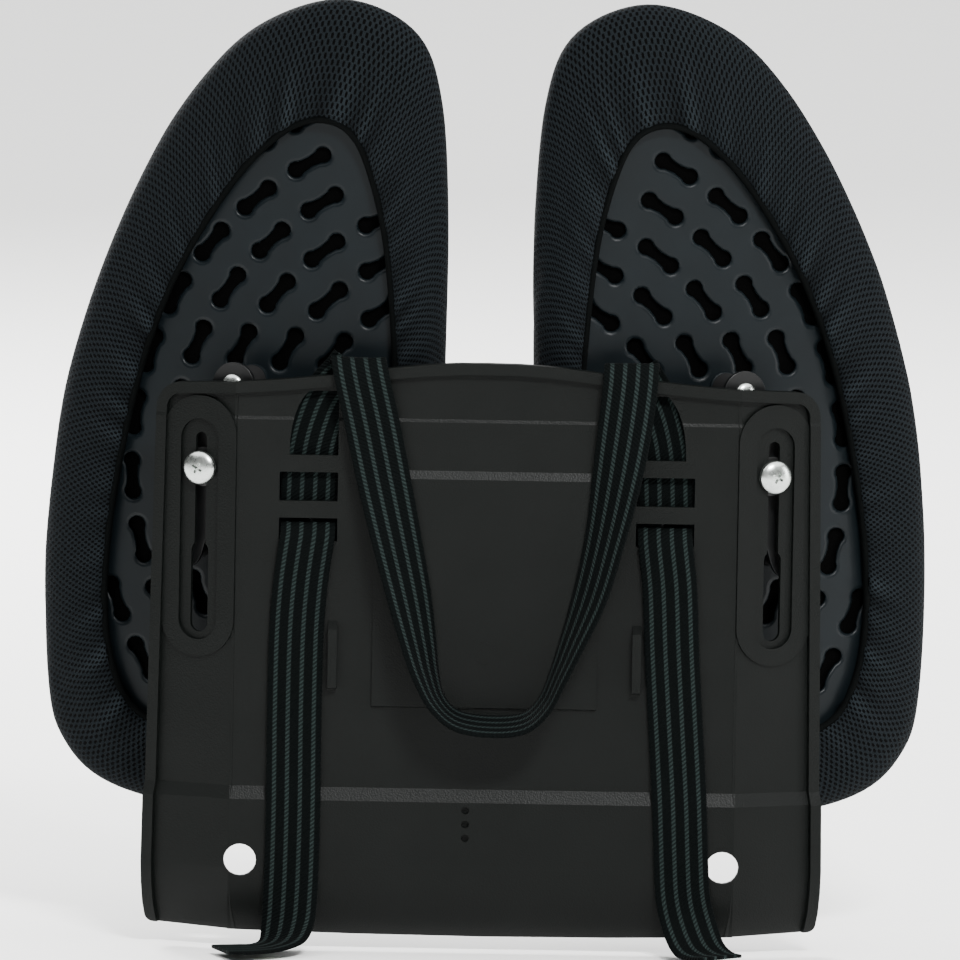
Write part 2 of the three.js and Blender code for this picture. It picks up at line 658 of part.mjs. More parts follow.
// Where the perforations go: [across, up, turn], on arcs about a point on the middle line.
function perforations(seats) {
  const places = [];
  for (let arc = 0; arc < HOLE_ARCS; arc++) {
    const radius = HOLE_FIRST_RADIUS + arc * HOLE_ARC_PITCH;
    const phase = arc < OUTER_ARC ? HOLE_PHASE : OUTER_HOLE_PHASE;
    const steps = Math.ceil((Math.PI * radius) / 2 / HOLE_PITCH);
    for (let n = -steps; n < steps; n++) {
      const angle = ((n + phase) * HOLE_PITCH) / radius;
      const hole = [radius * Math.cos(angle), HOLE_CENTRE_Z + radius * Math.sin(angle), angle + Math.PI / 2];
      const clear = seats.every((seat) => gapToHole(seat, hole) > BOSS_DIAMETER / 2 + HOLE_BOSS_GAP);
      if (clear && insideOpening(hole[0], hole[1], HOLE_EDGE_MARGIN)) places.push(hole);
    }
  }
  return places;
}

// ---- Assembly -----------------------------------------------------------------------------------

const material = (color, roughness, metalness = 0) =>
  new THREE.MeshStandardMaterial({ color, roughness, metalness });

const group = new THREE.Group();
group.position.y = PAD_RISE + MARK_RISE;

function place(parent, name, geometry, look, y = 0, x = 0, z = 0) {
  const mesh = new THREE.Mesh(geometry, look);
  mesh.name = name;
  mesh.position.set(x, y, z);
  parent.add(mesh);
  return mesh;
}

place(group, "back_panel", backPanel(), material(0x232726, 0.55));
place(group, "strap_loop", strapAlong(STRAP_LOOP, 72), material(0x1b2524, 0.8));
place(group, "strap_tail_left", strapAlong(TAIL_LEFT, 28), material(0x1b2524, 0.8));
place(group, "strap_tail_right", strapAlong(TAIL_RIGHT, 28), material(0x1b2524, 0.8));

// Distances along the bolt's axis, from the shoulder's rear face towards the sitter
const washerRear = TRACK_FLOOR - TOUCH_GAP - WASHER_THICKNESS;
const headSeat = washerRear - TOUCH_GAP;
const sliderRear = PANEL_WALL + TOUCH_GAP;
const armRear = sliderRear + SLIDER_THICKNESS + TOUCH_GAP;
const nutRear = armRear + ARM_THICKNESS + TOUCH_GAP;
const bufferRear = armRear + ARM_THICKNESS + FLEX_GAP;
const bufferFront = bufferRear + BUFFER_LENGTH;
const [alongBolt, alongShoulder] = [Math.cos(SHOULDER_ANGLE), Math.sin(SHOULDER_ANGLE)];
const shellInnerY = bufferFront * alongBolt + BOLT_SHOULDER_X * alongShoulder - SHELL_INNER_DROP;
const boltBore = BOLT_DIAMETER + 2 * BORE_CLEARANCE;
const screwBore = SCREW_DIAMETER + 2 * BORE_CLEARANCE;

function armPlate() {
  const outline = slotShape(0, -ARM_REACH - ARM_WIDTH / 2, ARM_REACH + ARM_WIDTH / 2, ARM_WIDTH);
  const bores = [[0, boltBore], [ARM_REACH, screwBore], [-ARM_REACH, screwBore]];
  for (const [z, bore] of bores) {
    outline.holes.push(new THREE.Path().absarc(0, z, bore / 2, 0, 2 * Math.PI));
  }
  return prism(outline, 0, ARM_THICKNESS, 6);
}

function hexNut() {
  const outline = new THREE.Shape();
  for (let i = 0; i < 6; i++) {
    const a = (i * Math.PI) / 3;
    const r = NUT_WIDTH / Math.sqrt(3);
    const corner = [r * Math.cos(a), r * Math.sin(a)];
    if (i === 0) outline.moveTo(...corner);
    else outline.lineTo(...corner);
  }
  outline.holes.push(new THREE.Path().absarc(0, 0, boltBore / 2, 0, 2 * Math.PI));
  return prism(outline, 0, NUT_THICKNESS, 6);
}

function buffer() {
  const [r, b, land] = [BUFFER_DIAMETER / 2, screwBore / 2, BUFFER_DIAMETER / 2 - 3 * BUFFER_CHAMFER];
  const rim = [[b, 0], [land, 0], [r, BUFFER_CHAMFER], [r, BUFFER_LENGTH], [b, BUFFER_LENGTH], [b, 0]];
  return turned(rim);
}

// The clamp stack on one side's slot. It returns the group that stands on the bolt's axis.
function clampStack(side, name) {
  const mount = new THREE.Group();
  mount.position.set(
    side * (FOLD_X + BOLT_SHOULDER_X * Math.cos(SHOULDER_ANGLE)),
    BOLT_SHOULDER_X * Math.sin(SHOULDER_ANGLE),
    BOLT_Z,
  );
  mount.rotation.z = side * SHOULDER_ANGLE;
  group.add(mount);
  const zinc = material(0xc8cdca, 0.3, 1);
  const length = nutRear + NUT_THICKNESS + 2 - headSeat;
  const bolt = screw(BOLT_HEAD_DIAMETER, BOLT_HEAD_HEIGHT, BOLT_DIAMETER, length, 20);
  place(mount, `${name}_clamp_bolt`, bolt, zinc, headSeat);
  place(mount, `${name}_bolt_washer`, ring(WASHER_DIAMETER, boltBore, 0, WASHER_THICKNESS), zinc, washerRear);
  const nylon = material(0x101112, 0.5);
  place(mount, `${name}_slider_disc`, ring(SLIDER_DIAMETER, boltBore, 0, SLIDER_THICKNESS), nylon, sliderRear);
  place(mount, `${name}_clamp_nut`, hexNut(), zinc, nutRear);
  const arm = new THREE.Group();
  arm.rotation.y = -side * ARM_LEAN;
  mount.add(arm);
  place(arm, `${name}_arm`, armPlate(), material(0x101112, 0.45, 0.4), armRear);
  return arm;
}

// Buffers at both ends of the arm, each held by a screw from the rear and one from inside the shell.
function buffers(arm, name) {
  const zinc = material(0xb9bfbd, 0.35, 1);
  const rubber = material(0x0c0c0d, 0.9);
  const headedScrew = (length) => screw(SCREW_HEAD_DIAMETER, SCREW_HEAD_HEIGHT, SCREW_DIAMETER, length, 12);
  const ends = { upper: ARM_REACH, lower: -ARM_REACH };
  for (const [end, z] of Object.entries(ends)) {
    place(arm, `${name}_${end}_buffer`, buffer(), rubber, bufferRear, 0, z);
    const rear = headedScrew(bufferRear + SCREW_GRIP - armRear);
    place(arm, `${name}_${end}_arm_screw`, rear, zinc, armRear - TOUCH_GAP, 0, z);
    const front = headedScrew(shellSeat - bufferFront + SCREW_GRIP);
    place(arm, `${name}_${end}_shell_screw`, front.rotateX(Math.PI), zinc, shellSeat + TOUCH_GAP, 0, z);
  }
}

// The front of the bosses that the shell screws bear on, along the bolt's axis
const shellSeat = bufferFront + TOUCH_GAP + BOSS_RISE * 2 + SHELL_WALL;

// A solid drawn about the bolt's axis, moved to an end of the right-hand arm.
function atArmEnd(geometry, end) {
  const turn = new THREE.Matrix4().makeRotationY(-ARM_LEAN);
  const slope = new THREE.Matrix4().makeRotationZ(SHOULDER_ANGLE);
  slope.setPosition(
    FOLD_X + BOLT_SHOULDER_X * Math.cos(SHOULDER_ANGLE),
    BOLT_SHOULDER_X * Math.sin(SHOULDER_ANGLE),
    BOLT_Z,
  );
  return geometry.clone().translate(0, 0, end * ARM_REACH).applyMatrix4(slope.multiply(turn));
}

function seatCentre(end) {
  const probe = new THREE.BufferGeometry();
  probe.setAttribute("position", new THREE.Float32BufferAttribute([0, bufferFront, 0], 3));
  const [x, , z] = atArmEnd(probe, end).attributes.position.array;
  return [x, z];
}

// The right-hand wing's solids, in place.
function wingPieces() {
  let shell = wingShell();
  let foam = wingFoam();
  for (const end of [1, -1]) {
    const boss = disc(BOSS_DIAMETER, bufferFront + TOUCH_GAP, shellSeat);
    shell = shell.add(solid(atArmEnd(boss, end)));
    shell = shell.subtract(solid(atArmEnd(disc(screwBore, bufferFront - 5, shellSeat + 5, 10), end)));
    const pocket = disc(BOSS_DIAMETER + 2, bufferFront - 4, shellSeat + SCREW_HEAD_HEIGHT + 1.5);
    foam = foam.subtract(solid(atArmEnd(pocket, end)));
  }
  const hole = prism(perforationShape(), -10, 140);
  for (const [x, z, turn] of perforations([seatCentre(1), seatCentre(-1)])) {
    shell = shell.subtract(solid(hole.clone().rotateY(-turn).translate(x, 0, z)));
  }
  return {
    shell: [geometryOf(shell), material(0x1e2629, 0.42)],
    foam: [geometryOf(foam), material(0x3a3b3d, 0.95)],
    cover: [wingCover(), material(0x14171a, 0.9)],
    hem_cord: [hemCord(), material(0x0e0f10, 0.85)],
  };
}

const pieces = wingPieces();
for (const [name, side] of Object.entries(SIDES)) {
  buffers(clampStack(side, name), name);
  for (const [piece, [geometry, look]] of Object.entries(pieces)) {
    place(group, `${name}_wing_${piece}`, side < 0 ? mirrored(geometry) : geometry, look);
  }
}

export default group;
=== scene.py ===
"""A chair back support with two padded wings, seen from behind the chair.

A moulded panel carries two wings on bolted arms. Elastic webbing is laced through the panel.
Lengths below are in millimetres, and become metres where a mesh is made. +Z is up, the sitter is
towards +Y, and side is -1 for the left wing and 1 for the right.
"""

import math

import bmesh
import bpy
import numpy as np
from mathutils import Matrix, Vector


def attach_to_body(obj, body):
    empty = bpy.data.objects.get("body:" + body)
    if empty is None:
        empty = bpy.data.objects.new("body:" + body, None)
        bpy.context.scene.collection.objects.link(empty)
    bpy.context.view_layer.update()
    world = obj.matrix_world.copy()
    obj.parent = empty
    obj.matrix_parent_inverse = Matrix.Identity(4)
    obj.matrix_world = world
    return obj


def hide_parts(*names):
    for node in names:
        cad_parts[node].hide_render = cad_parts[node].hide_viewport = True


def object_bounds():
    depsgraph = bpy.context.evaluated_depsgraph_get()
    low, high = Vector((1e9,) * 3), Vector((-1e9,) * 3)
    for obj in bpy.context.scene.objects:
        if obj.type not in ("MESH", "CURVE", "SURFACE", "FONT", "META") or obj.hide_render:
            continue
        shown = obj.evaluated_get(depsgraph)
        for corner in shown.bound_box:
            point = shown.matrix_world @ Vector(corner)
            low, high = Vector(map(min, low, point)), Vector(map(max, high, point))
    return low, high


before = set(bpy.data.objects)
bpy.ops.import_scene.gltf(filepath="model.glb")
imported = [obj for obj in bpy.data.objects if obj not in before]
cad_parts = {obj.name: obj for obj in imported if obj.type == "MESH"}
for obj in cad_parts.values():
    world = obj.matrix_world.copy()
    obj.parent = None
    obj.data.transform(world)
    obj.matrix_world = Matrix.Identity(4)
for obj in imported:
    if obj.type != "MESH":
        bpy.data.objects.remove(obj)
cad_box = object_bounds()

MM = 0.001
SIDES = {"left": -1, "right": 1}
MARK_Y = 2.0  # the panel's rear face is this far forward of the origin

# ---- Sizes that the pieces share ----------------------------------------------------------------

FOLD_X = 115
SHOULDER_ANGLE = math.radians(22)
PANEL_WALL = 3
BOLT_SHOULDER_X = 17.4
BOLT_Z = 82.3
ARM_LEAN = math.radians(17.8)
ARM_REACH = 39.9
TRACK_FLOOR = 0.8
TOUCH_GAP = 0.3
WASHER_THICKNESS = 0.7
SLIDER_THICKNESS = 4.4
ARM_THICKNESS = 2.5
FLEX_GAP = 0.55
BUFFER_LENGTH = 19.8
SHELL_WALL = 2.5
BOSS_RISE = 1.2
SCREW_HEAD_HEIGHT = 2.6
SCREW_GRIP = 6  # how far a shank reaches past what it holds

# Distances along the clamp bolt, from the shoulder's rear face towards the sitter
WASHER_REAR = TRACK_FLOOR - TOUCH_GAP - WASHER_THICKNESS
HEAD_SEAT = WASHER_REAR - TOUCH_GAP
SLIDER_REAR = PANEL_WALL + TOUCH_GAP
ARM_REAR = SLIDER_REAR + SLIDER_THICKNESS + TOUCH_GAP
NUT_REAR = ARM_REAR + ARM_THICKNESS + TOUCH_GAP
BUFFER_REAR = ARM_REAR + ARM_THICKNESS + FLEX_GAP
BUFFER_FRONT = BUFFER_REAR + BUFFER_LENGTH
SHELL_SEAT = BUFFER_FRONT + TOUCH_GAP + 2 * BOSS_RISE + SHELL_WALL

# ---- Camera, floor and light --------------------------------------------------------------------

VIEW_CENTRE = Vector((-3.4, 10, 78.5)) * MM
VIEW_ELEVATION = math.radians(6.5)
VIEW_ROLL = math.radians(-1.0)
VIEW_DISTANCE = 8.0
VIEW_WIDTH = 0.4385
SENSOR_WIDTH = 36


def add_camera():
    data = bpy.data.cameras.new("rear_view")
    data.sensor_width = SENSOR_WIDTH
    data.lens = SENSOR_WIDTH * VIEW_DISTANCE / VIEW_WIDTH
    data.clip_end = 60
    camera = bpy.data.objects.new("rear_view", data)
    back = Vector((0, -math.cos(VIEW_ELEVATION), math.sin(VIEW_ELEVATION)))
    aim = (-back).to_track_quat("-Z", "Y").to_matrix().to_4x4()
    camera.matrix_world = Matrix.Translation(VIEW_CENTRE + back * VIEW_DISTANCE) @ aim
    camera.matrix_world = camera.matrix_world @ Matrix.Rotation(-VIEW_ROLL, 4, "Z")
    bpy.context.scene.collection.objects.link(camera)
    bpy.context.scene.camera = camera


def add_light(name, place, target, size, watts):
    data = bpy.data.lights.new(name, "AREA")
    data.shape = "RECTANGLE"
    data.size, data.size_y = size
    data.energy = watts
    light = bpy.data.objects.new(name, data)
    light.location = place
    light.rotation_euler = (Vector(target) - Vector(place)).to_track_quat("-Z", "Y").to_euler()
    bpy.context.scene.collection.objects.link(light)


add_camera()

# ---- Mesh helpers -------------------------------------------------------------------------------


def new_piece(name, vertices, faces, finish, smooth=True):
    """A mesh piece from points in metres."""
    mesh = bpy.data.meshes.new(name)
    mesh.from_pydata([tuple(v) for v in vertices], [], faces)
    mesh.validate()
    mesh.polygons.foreach_set("use_smooth", [smooth] * len(mesh.polygons))
    mesh.materials.append(finish)
    piece = bpy.data.objects.new(name, mesh)
    bpy.context.scene.collection.objects.link(piece)
    return piece


def attach(piece, body, slot, *nodes):
    """Puts a finished piece on its body, in place of the CAD nodes that it stands for."""
    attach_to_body(piece, body)
    if nodes:
        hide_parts(*nodes)
    return piece


def face_outwards(piece):
    mesh = bmesh.new()
    mesh.from_mesh(piece.data)
    bmesh.ops.remove_doubles(mesh, verts=mesh.verts, dist=1e-6)
    bmesh.ops.recalc_face_normals(mesh, faces=mesh.faces)
    mesh.to_mesh(piece.data)
    mesh.free()


def wall_faces(rings, around, closed=False):
    """Four-cornered faces between rings of points, each ring joined to itself."""
    faces = []
    for r in range(rings if closed else rings - 1):
        n = (r + 1) % rings
        for j in range(around):
            k = (j + 1) % around
            faces.append((r * around + j, r * around + k, n * around + k, n * around + j))
    return faces


def sharpen(piece, degrees):
    """Smooth shading that keeps the edges that turn more sharply than this."""
    mesh = bmesh.new()
    mesh.from_mesh(piece.data)
    for edge in mesh.edges:
        if len(edge.link_faces) == 2:
            edge.smooth = edge.calc_face_angle(0) < math.radians(degrees)
    for face in mesh.faces:
        face.smooth = True
    mesh.to_mesh(piece.data)
    mesh.free()


FLAT_WITHIN = math.radians(0.6)  # faces that turn less than this are one flat face
CORNER_FROM = math.radians(18)  # edges that turn more than this are rounded


def softened_copy(node, name, radius, finish):
    """The CAD node's shape with its corners rounded, as they leave a mould or a press."""
    mesh = bmesh.new()
    mesh.from_mesh(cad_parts[node].data)
    bmesh.ops.remove_doubles(mesh, verts=mesh.verts, dist=0.02 * MM)
    bmesh.ops.dissolve_limit(mesh, angle_limit=FLAT_WITHIN, verts=mesh.verts, edges=mesh.edges)
    data = bpy.data.meshes.new(name)
    mesh.to_mesh(data)
    mesh.free()
    data.materials.clear()
    data.materials.append(finish)
    data.polygons.foreach_set("use_smooth", [True] * len(data.polygons))
    piece = bpy.data.objects.new(name, data)
    bpy.context.scene.collection.objects.link(piece)
    bevel = piece.modifiers.new("Rounded corners", "BEVEL")
    bevel.width = radius * MM
    bevel.segments = 2
    bevel.limit_method = "ANGLE"
    bevel.angle_limit = CORNER_FROM
    bevel.use_clamp_overlap = True
    even = piece.modifiers.new("Flat faces", "WEIGHTED_NORMAL")
    even.weight = 100
    return piece


STEPS_PER_SPAN = 40


def spans_between(before, start, end, beyond):
    """Catmull-Rom curves from each start to its end, as one fine line."""
    t = np.linspace(0, 1, STEPS_PER_SPAN, endpoint=False)[None, :, None]
    a, b, c, d = (q[:, None, :] for q in (before, start, end, beyond))
    squared = (2 * a - 5 * b + 4 * c - d) * t**2
    run = 0.5 * (2 * b + (c - a) * t + squared + (3 * b - a - 3 * c + d) * t**3)
    return run.reshape(-1, start.shape[1])


def smooth_loop(points, count):
    """Evenly spaced points on a closed smooth curve through the given ones."""
    p = np.array(points, float)
    line = spans_between(np.roll(p, 1, 0), p, np.roll(p, -1, 0), np.roll(p, -2, 0))
    return even_points(np.vstack([line, p[:1]]), count + 1)[:-1]


def smooth_line(points, count):
    """Evenly spaced points on an open smooth curve through the given ones."""
    p = np.array(points, float)
    p = np.vstack([2 * p[0] - p[1], p, 2 * p[-1] - p[-2]])
    line = spans_between(p[:-3], p[1:-2], p[2:-1], p[3:])
    return even_points(np.vstack([line, p[-2:-1]]), count)


def even_points(line, count):
    """A fine polyline cut into equal lengths, measured on its first three columns."""
    step = np.linalg.norm(np.diff(line[:, :3], axis=0), axis=1)
    along = np.concatenate([[0], np.cumsum(step)])
    wanted = np.linspace(0, along[-1], count)
    return np.stack([np.interp(wanted, along, column) for column in line.T], 1)


def store_uv(piece, uv_of_vertex):
    """A UV map in metres from one (u, v) for each vertex."""
    layer = piece.data.uv_layers.new(name="cloth")
    corners = np.zeros(len(piece.data.loops), int)
    piece.data.loops.foreach_get("vertex_index", corners)
    layer.data.foreach_set("uv", np.asarray(uv_of_vertex, float)[corners].ravel())


# ---- Materials ----------------------------------------------------------------------------------


def linear(hex_colour):
    channels = [int(hex_colour[i : i + 2], 16) / 255 for i in (1, 3, 5)]
    return tuple(c / 12.92 if c <= 0.04045 else ((c + 0.055) / 1.055) ** 2.4 for c in channels) + (1,)


def add_node(tree, kind, inputs=None, **settings):
    """One node with its settings. An input is a value or the socket that feeds it."""
    made = tree.nodes.new(kind)
    for key, value in settings.items():
        setattr(made, key, value)
    for key, value in (inputs or {}).items():
        if isinstance(value, bpy.types.NodeSocket):
            tree.links.new(value, made.inputs[key])
        else:
            made.inputs[key].default_value = value
    return made


def new_finish(name, hex_colour, roughness, **sockets):
    """A material with a plain shader, and its node tree and shader to build on."""
    finish = bpy.data.materials.new(name)
    finish.use_nodes = True
    shader = finish.node_tree.nodes["Principled BSDF"]
    shader.inputs["Base Color"].default_value = linear(hex_colour)
    shader.inputs["Roughness"].default_value = roughness
    for key, value in sockets.items():
        shader.inputs[key.replace("_", " ")].default_value = value
    return finish, finish.node_tree, shader


def math_node(tree, operation, a, b=0.0, c=0.0):
    return add_node(tree, "ShaderNodeMath", {0: a, 1: b, 2: c}, operation=operation).outputs[0]


def object_noise(tree, millimetres, detail=3.0, roughness=0.5):
    place = add_node(tree, "ShaderNodeTexCoord").outputs["Object"]
    inputs = {"Vector": place, "Scale": 1 / (millimetres * MM), "Detail": detail, "Roughness": roughness}
    return add_node(tree, "ShaderNodeTexNoise", inputs).outputs["Fac"]


def ranged(tree, value, low, high, start=0.0, end=1.0):
    inputs = {"Value": value, "From Min": start, "From Max": end, "To Min": low, "To Max": high}
    return add_node(tree, "ShaderNodeMapRange", inputs).outputs["Result"]


def mixed_colour(tree, factor, first, second):
    """A colour that runs from the first to the second. Each is a hex value or a socket."""
    mix = add_node(tree, "ShaderNodeMix", data_type="RGBA")
    for name, colour in (("A", first), ("B", second)):
        socket = next(s for s in mix.inputs if s.type == "RGBA" and s.name == name)
        if isinstance(colour, str):
            socket.default_value = linear(colour)
        else:
            tree.links.new(colour, socket)
    tree.links.new(factor, mix.inputs["Factor"])
    return next(s for s in mix.outputs if s.type == "RGBA")


def bump(tree, shader, height, millimetres, strength=1.0):
    inputs = {"Height": height, "Distance": millimetres * MM, "Strength": strength}
    made = add_node(tree, "ShaderNodeBump", inputs)
    tree.links.new(made.outputs["Normal"], shader.inputs["Normal"])


PEBBLE = 0.85  # across one pebble of the panel's grain


def moulded_polypropylene():
    """Polypropylene from a spark-eroded mould: black, with a grain of small round-topped pebbles."""
    finish, tree, shader = new_finish(
        "moulded polypropylene", "#080a09", 0.46, IOR=1.49, Specular_IOR_Level=0.1
    )
    place = add_node(tree, "ShaderNodeTexCoord").outputs["Object"]
    cells = {"Vector": place, "Scale": 1 / (PEBBLE * MM)}
    pebble = add_node(tree, "ShaderNodeTexVoronoi", cells, feature="F1").outputs["Distance"]
    patch = object_noise(tree, 26, 2)
    fine = object_noise(tree, 0.5, 2)
    grain = math_node(tree, "MULTIPLY_ADD", fine, 0.5, pebble)
    bump(tree, shader, grain, 0.13, 0.62)
    tree.links.new(mixed_colour(tree, patch, "#060807", "#0b0d0c"), shader.inputs["Base Color"])
    tree.links.new(ranged(tree, grain, 0.34, 0.5, 0.1, 1.1), shader.inputs["Roughness"])
    return finish


def smooth_nylon_shell():
    """Glass-filled nylon from a polished mould: blue-black, with a soft sheen."""
    finish, tree, shader = new_finish(
        "moulded glass-filled nylon", "#080c0e", 0.4, IOR=1.53, Specular_IOR_Level=0.11
    )
    bump(tree, shader, object_noise(tree, 0.9, 3), 0.06, 0.5)
    tone = object_noise(tree, 18, 3)
    tree.links.new(mixed_colour(tree, tone, "#070b0d", "#0b1114"), shader.inputs["Base Color"])
    tree.links.new(ranged(tree, tone, 0.34, 0.46), shader.inputs["Roughness"])
    return finish


MESH_HALF_PITCH = (1.5, 2.3)  # half the distance between the mesh's holes, around and along


def air_mesh_polyester():
    """Knitted polyester spacer mesh: round holes in staggered rows between soft matt yarns.

    Where the hem elastic gathers the knit, a painted highlight and painted shade are laid on it: the
    yarn is drawn a little lighter on the tops of the folds and darker in their creases.
    """
    finish, tree, shader = new_finish(
        "air-mesh polyester", "#0e1112", 0.86, IOR=1.55, Specular_IOR_Level=0.03
    )
    shader.inputs["Sheen Weight"].default_value = 0.02
    shader.inputs["Sheen Roughness"].default_value = 0.5
    shader.inputs["Sheen Tint"].default_value = linear("#9aa2aa")
    place = add_node(tree, "ShaderNodeUVMap", uv_map="cloth").outputs["UV"]
    axes = add_node(tree, "ShaderNodeSeparateXYZ", {"Vector": place})
    waves = []
    for axis, half in enumerate(MESH_HALF_PITCH):
        turn = math_node(tree, "MULTIPLY", axes.outputs[axis], math.pi / (half * MM))
        waves.append(math_node(tree, "COSINE", turn))
    holes = math_node(tree, "MULTIPLY", *waves)
    depth = ranged(tree, holes, 0, 1, 0.02, 0.4)
    # painted highlight and shade on the gathers: the fold depth lightens the yarn on fold tops and
    # darkens it in the creases
    painted_fold_shade = add_node(tree, "ShaderNodeAttribute", attribute_name="painted_fold_shade").outputs["Fac"]
    tone = math_node(tree, "MULTIPLY_ADD", object_noise(tree, 0.6, 3), 0.35, painted_fold_shade)
    yarn = mixed_colour(tree, ranged(tree, tone, 0, 1, 0.35, 1.1), "#040506", "#1a1f22")
    tree.links.new(mixed_colour(tree, depth, yarn, "#010101"), shader.inputs["Base Color"])
    bump(tree, shader, math_node(tree, "SUBTRACT", 1.0, depth), 0.7, 0.8)
    return finish


WEBBING_WIDTH = 25
WEBBING_THICKNESS = 1.6
STRIPES = (3.6, 9.5, 15.5, 21.4)  # from one edge of the webbing
STRIPE_WIDTH = 1.9
STRIPE_EDGE = 0.2  # how far a stripe's edge fades, each way
TWIST_PITCH = 1.9  # of the twisted cords in each stripe, coarser than the real ones so that it shows
TWIST_SLANT = 0.7


def woven_elastic():
    """Woven elastic: matt black polyester over rubber, with stripes of twisted grey-green cord."""
    finish, tree, shader = new_finish("woven elastic", "#030505", 0.8, IOR=1.5, Specular_IOR_Level=0.04)
    shader.inputs["Sheen Weight"].default_value = 0.01
    shader.inputs["Sheen Roughness"].default_value = 0.45
    place = add_node(tree, "ShaderNodeUVMap", uv_map="cloth").outputs["UV"]
    axes = add_node(tree, "ShaderNodeSeparateXYZ", {"Vector": place})
    across = math_node(tree, "MULTIPLY", axes.outputs[0], 1000.0)
    along = math_node(tree, "MULTIPLY", axes.outputs[1], 1000.0)
    nearest = None
    for stripe in STRIPES:
        off = math_node(tree, "ABSOLUTE", math_node(tree, "SUBTRACT", across, stripe))
        nearest = off if nearest is None else math_node(tree, "MINIMUM", nearest, off)
    half = STRIPE_WIDTH / 2
    band = ranged(tree, nearest, 1, 0, half - STRIPE_EDGE, half + STRIPE_EDGE)
    slant = math_node(tree, "MULTIPLY_ADD", across, TWIST_SLANT, along)
    weave = math_node(tree, "SINE", math_node(tree, "MULTIPLY", slant, 2 * math.pi / TWIST_PITCH))
    lit = math_node(tree, "MULTIPLY", band, ranged(tree, weave, 0.3, 1, -0.7, 0.7))
    tree.links.new(mixed_colour(tree, lit, "#020404", "#1c2423"), shader.inputs["Base Color"])
    ribs = (math_node(tree, "MULTIPLY", band, 0.9), math_node(tree, "MULTIPLY", weave, 0.5))
    rib = math_node(tree, "ADD", *ribs)
    bump(tree, shader, rib, 0.28, 0.8)
    return finish


def plated_zinc():
    """Steel with bright zinc plating: silver, a little cloudy, with fine turning marks."""
    finish, tree, shader = new_finish("bright zinc-plated steel", "#c6cac6", 0.27, Metallic=1.0)
    cloud = object_noise(tree, 2.5, 4)
    tree.links.new(mixed_colour(tree, cloud, "#aeb4b0", "#d4d8d4"), shader.inputs["Base Color"])
    tree.links.new(ranged(tree, cloud, 0.2, 0.38), shader.inputs["Roughness"])
    bump(tree, shader, object_noise(tree, 0.5, 2), 0.02, 0.5)
    return finish


def coated_steel():
    """Pressed steel with black powder coat: satin, with a faint orange-peel."""
    finish, tree, shader = new_finish(
        "black powder-coated steel", "#0c0d0e", 0.42, IOR=1.5, Specular_IOR_Level=0.2
    )
    shader.inputs["Coat Weight"].default_value = 0.2
    shader.inputs["Coat Roughness"].default_value = 0.3
    peel = object_noise(tree, 1.1, 2)
    bump(tree, shader, peel, 0.05, 0.5)
    tree.links.new(mixed_colour(tree, peel, "#050606", "#090a0b"), shader.inputs["Base Color"])
    return finish


def speckled(name, first, second, millimetres, roughness, depth, ior=1.5, specular=0.25):
    """A matt moulded or foamed surface with an uneven tone and a fine relief."""
    finish, tree, shader = new_finish(name, first, roughness, IOR=ior, Specular_IOR_Level=specular)
    tone = object_noise(tree, millimetres, 4, 0.6)
    tree.links.new(mixed_colour(tree, tone, first, second), shader.inputs["Base Color"])
    bump(tree, shader, tone, depth, 0.7)
    return finish


POLYPROPYLENE = moulded_polypropylene()
SHELL_NYLON = smooth_nylon_shell()
AIR_MESH = air_mesh_polyester()
WEBBING = woven_elastic()
ZINC = plated_zinc()
BLACK_STEEL = coated_steel()
RUBBER = speckled("moulded natural rubber", "#050505", "#080809", 1.4, 0.78, 0.08, 1.52)
BLACK_NYLON = speckled("turned black nylon", "#070808", "#0b0c0c", 3.0, 0.42, 0.03, 1.53)
FOAM = speckled("open-cell polyurethane foam", "#010101", "#030303", 0.9, 0.95, 0.5, specular=0.02)
HEM_ELASTIC = speckled("covered elastic cord", "#010202", "#040505", 0.8, 0.85, 0.25, specular=0.04)

# ---- Webbing ------------------------------------------------------------------------------------

